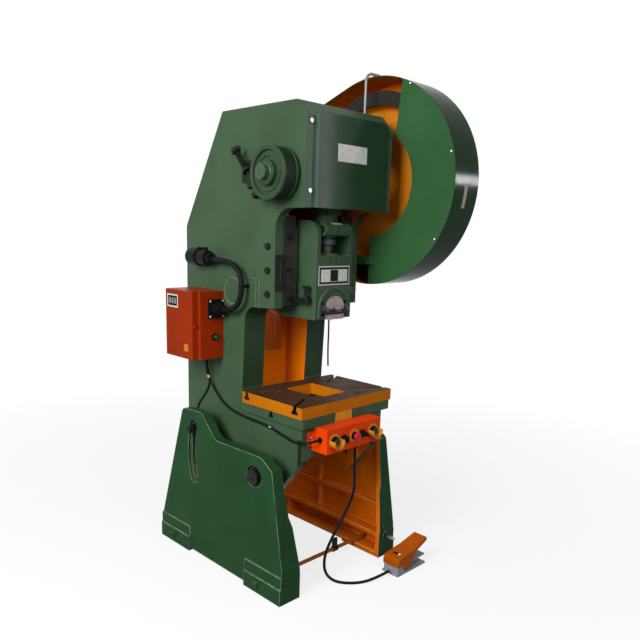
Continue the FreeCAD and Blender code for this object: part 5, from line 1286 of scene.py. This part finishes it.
# ---------------------------------------------------------------- studio
@dataclass(frozen=True)
class Lamp:
    """One soft lamp, in metres and watts."""

    name: str
    at: Spot
    aim: Spot
    power: float
    wide: float
    tall: float | None = None  # where it isn't square
    sheen_only: bool = False  # whether it only shows in glossy surfaces

    def build(self) -> None:
        """Hangs the lamp and points it."""
        light = bpy.data.lights.new(self.name, "AREA")
        light.size = self.wide
        if self.tall:
            light.shape = "RECTANGLE"
            light.size_y = self.tall
        light.energy = self.power
        made = hang(self.name, light)
        made.location = self.at
        made.visible_diffuse = not self.sheen_only
        made.rotation_euler = (Vector(self.aim) - Vector(self.at)).to_track_quat("-Z", "Y").to_euler()
        LOG.info("%s hung", self.name)


LAMPS = (
    Lamp("left_lamp", (-4.3, -0.8, 3.0), (-0.2, 0, 1.1), 260, 2.4),
    Lamp("front_lamp", (-1.0, -4.5, 3.2), (0, 0, 1.0), 78, 2.5),
    Lamp("rim_lamp", (3.7, -2.9, 2.12), (0.356, -0.733, 1.754), 45, 0.5, tall=0.4, sheen_only=True),
    Lamp("strip_lamp", (2.05, -2.65, 2.1), (-0.1, -0.44, 1.8), 3.5, 0.14, tall=0.9, sheen_only=True),
)


@dataclass
class Camera:
    """The camera that took the photograph: its eye in millimetres, its turns in degrees."""

    eye: Spot = (-2036.0, -2282.0, 1536.0)
    yaw: float = 44.97
    pitch: float = 11.87
    roll: float = 1.67
    focal_pixels: float = 658.0
    centre_pixels: Pair = (315.1, 368.7)
    image_pixels: float = 640.0
    sensor: float = 36.0
    farthest: float = 200.0  # in metres

    def build(self) -> None:
        """Sets the camera where the photograph was taken."""
        yaw, pitch, roll = (math.radians(angle) for angle in (self.yaw, self.pitch, self.roll))
        ahead = Vector((math.sin(yaw) * math.cos(pitch), math.cos(yaw) * math.cos(pitch), -math.sin(pitch)))
        level = Vector((math.cos(yaw), -math.sin(yaw), 0))
        upright = level.cross(ahead)
        right = level * math.cos(roll) + upright * math.sin(roll)
        up = upright * math.cos(roll) - level * math.sin(roll)
        turn = Matrix((right, up, -ahead)).transposed()
        lens = bpy.data.cameras.new("photo_camera")
        lens.sensor_width = self.sensor
        lens.lens = self.focal_pixels / self.image_pixels * self.sensor
        lens.shift_x = (self.image_pixels / 2 - self.centre_pixels[0]) / self.image_pixels
        lens.shift_y = (self.centre_pixels[1] - self.image_pixels / 2) / self.image_pixels
        lens.clip_end = self.farthest
        made = hang("photo_camera", lens)
        made.matrix_world = Matrix.Translation(point(self.eye)) @ turn.to_4x4()
        bpy.context.scene.camera = made


@dataclass
class Studio:
    """A plain floor under an even sky, both white to the eye, in metres."""

    floor_half: float = 60.0
    floor_pale: float = 0.9
    floor_bounce: float = 0.22
    floor_glow: float = 0.78
    shadow_reach: Pair = (1.0, 3.5)
    sky_light: float = 0.3

    def floor(self) -> None:
        """Lays a matt floor that glows white away from the press and keeps the shadow near it."""
        mesh = bpy.data.meshes.new("studio_floor")
        reach = self.floor_half
        mesh.from_pydata([(-reach, -reach, 0), (reach, -reach, 0), (reach, reach, 0), (-reach, reach, 0)], [],
                         [(0, 1, 2, 3)])
        sheet = Shader("studio_floor")
        sheet.tree.nodes.remove(sheet.body)
        away = sheet.vector("LENGTH", sheet.place)
        glow = sheet.spread(away.outputs["Value"], *self.shadow_reach, self.floor_glow, 1.0)
        white = sheet.node("ShaderNodeEmission")
        pale, dull = sheet.node("ShaderNodeBsdfDiffuse"), sheet.node("ShaderNodeBsdfDiffuse")
        pale.inputs["Color"].default_value = (*[self.floor_pale] * 3, 1)
        dull.inputs["Color"].default_value = (*[self.floor_bounce] * 3, 1)
        shadowed, shown = sheet.node("ShaderNodeMixShader"), sheet.node("ShaderNodeMixShader")
        for mixed, sources in ((shadowed, (glow, pale.outputs[0], white.outputs[0])),
                               (shown, (sheet.seen(), dull.outputs[0], shadowed.outputs[0]))):
            for source, target in zip(sources, mixed.inputs):
                sheet.link(source, target)
        sheet.link(shown.outputs[0], sheet.tree.nodes["Material Output"].inputs["Surface"])
        mesh.materials.append(sheet.material)
        hang("studio_floor", mesh)

    def sky(self) -> None:
        """Fills the room with even light and keeps the background white."""
        world = bpy.data.worlds.new("studio_sky")
        bpy.context.scene.world = world
        sheet = Sheet(world)
        base = sheet.tree.nodes["Background"]
        base.inputs["Color"].default_value = (1, 1, 1, 1)
        sheet.link(sheet.spread(sheet.seen(), 0.0, 1.0, self.sky_light, 1.0), base.inputs["Strength"])

    def build(self) -> None:
        """Lays the floor, fills the sky and keeps the colours plain."""
        bpy.context.scene.view_settings.view_transform = "Standard"
        self.floor()
        self.sky()
        LOG.info("studio set up")


def main() -> None:
    """Builds the press's looks piece by piece."""
    logging.basicConfig(level=logging.INFO, format="%(message)s")
    for part in (PlainParts(), Stand(), Frame(), Head(), Ram(), Switchgear(), *CABLES, FootCable(), Camera(),
                 Studio(), *LAMPS):
        part.build()


if __name__ == "__main__":
    main()
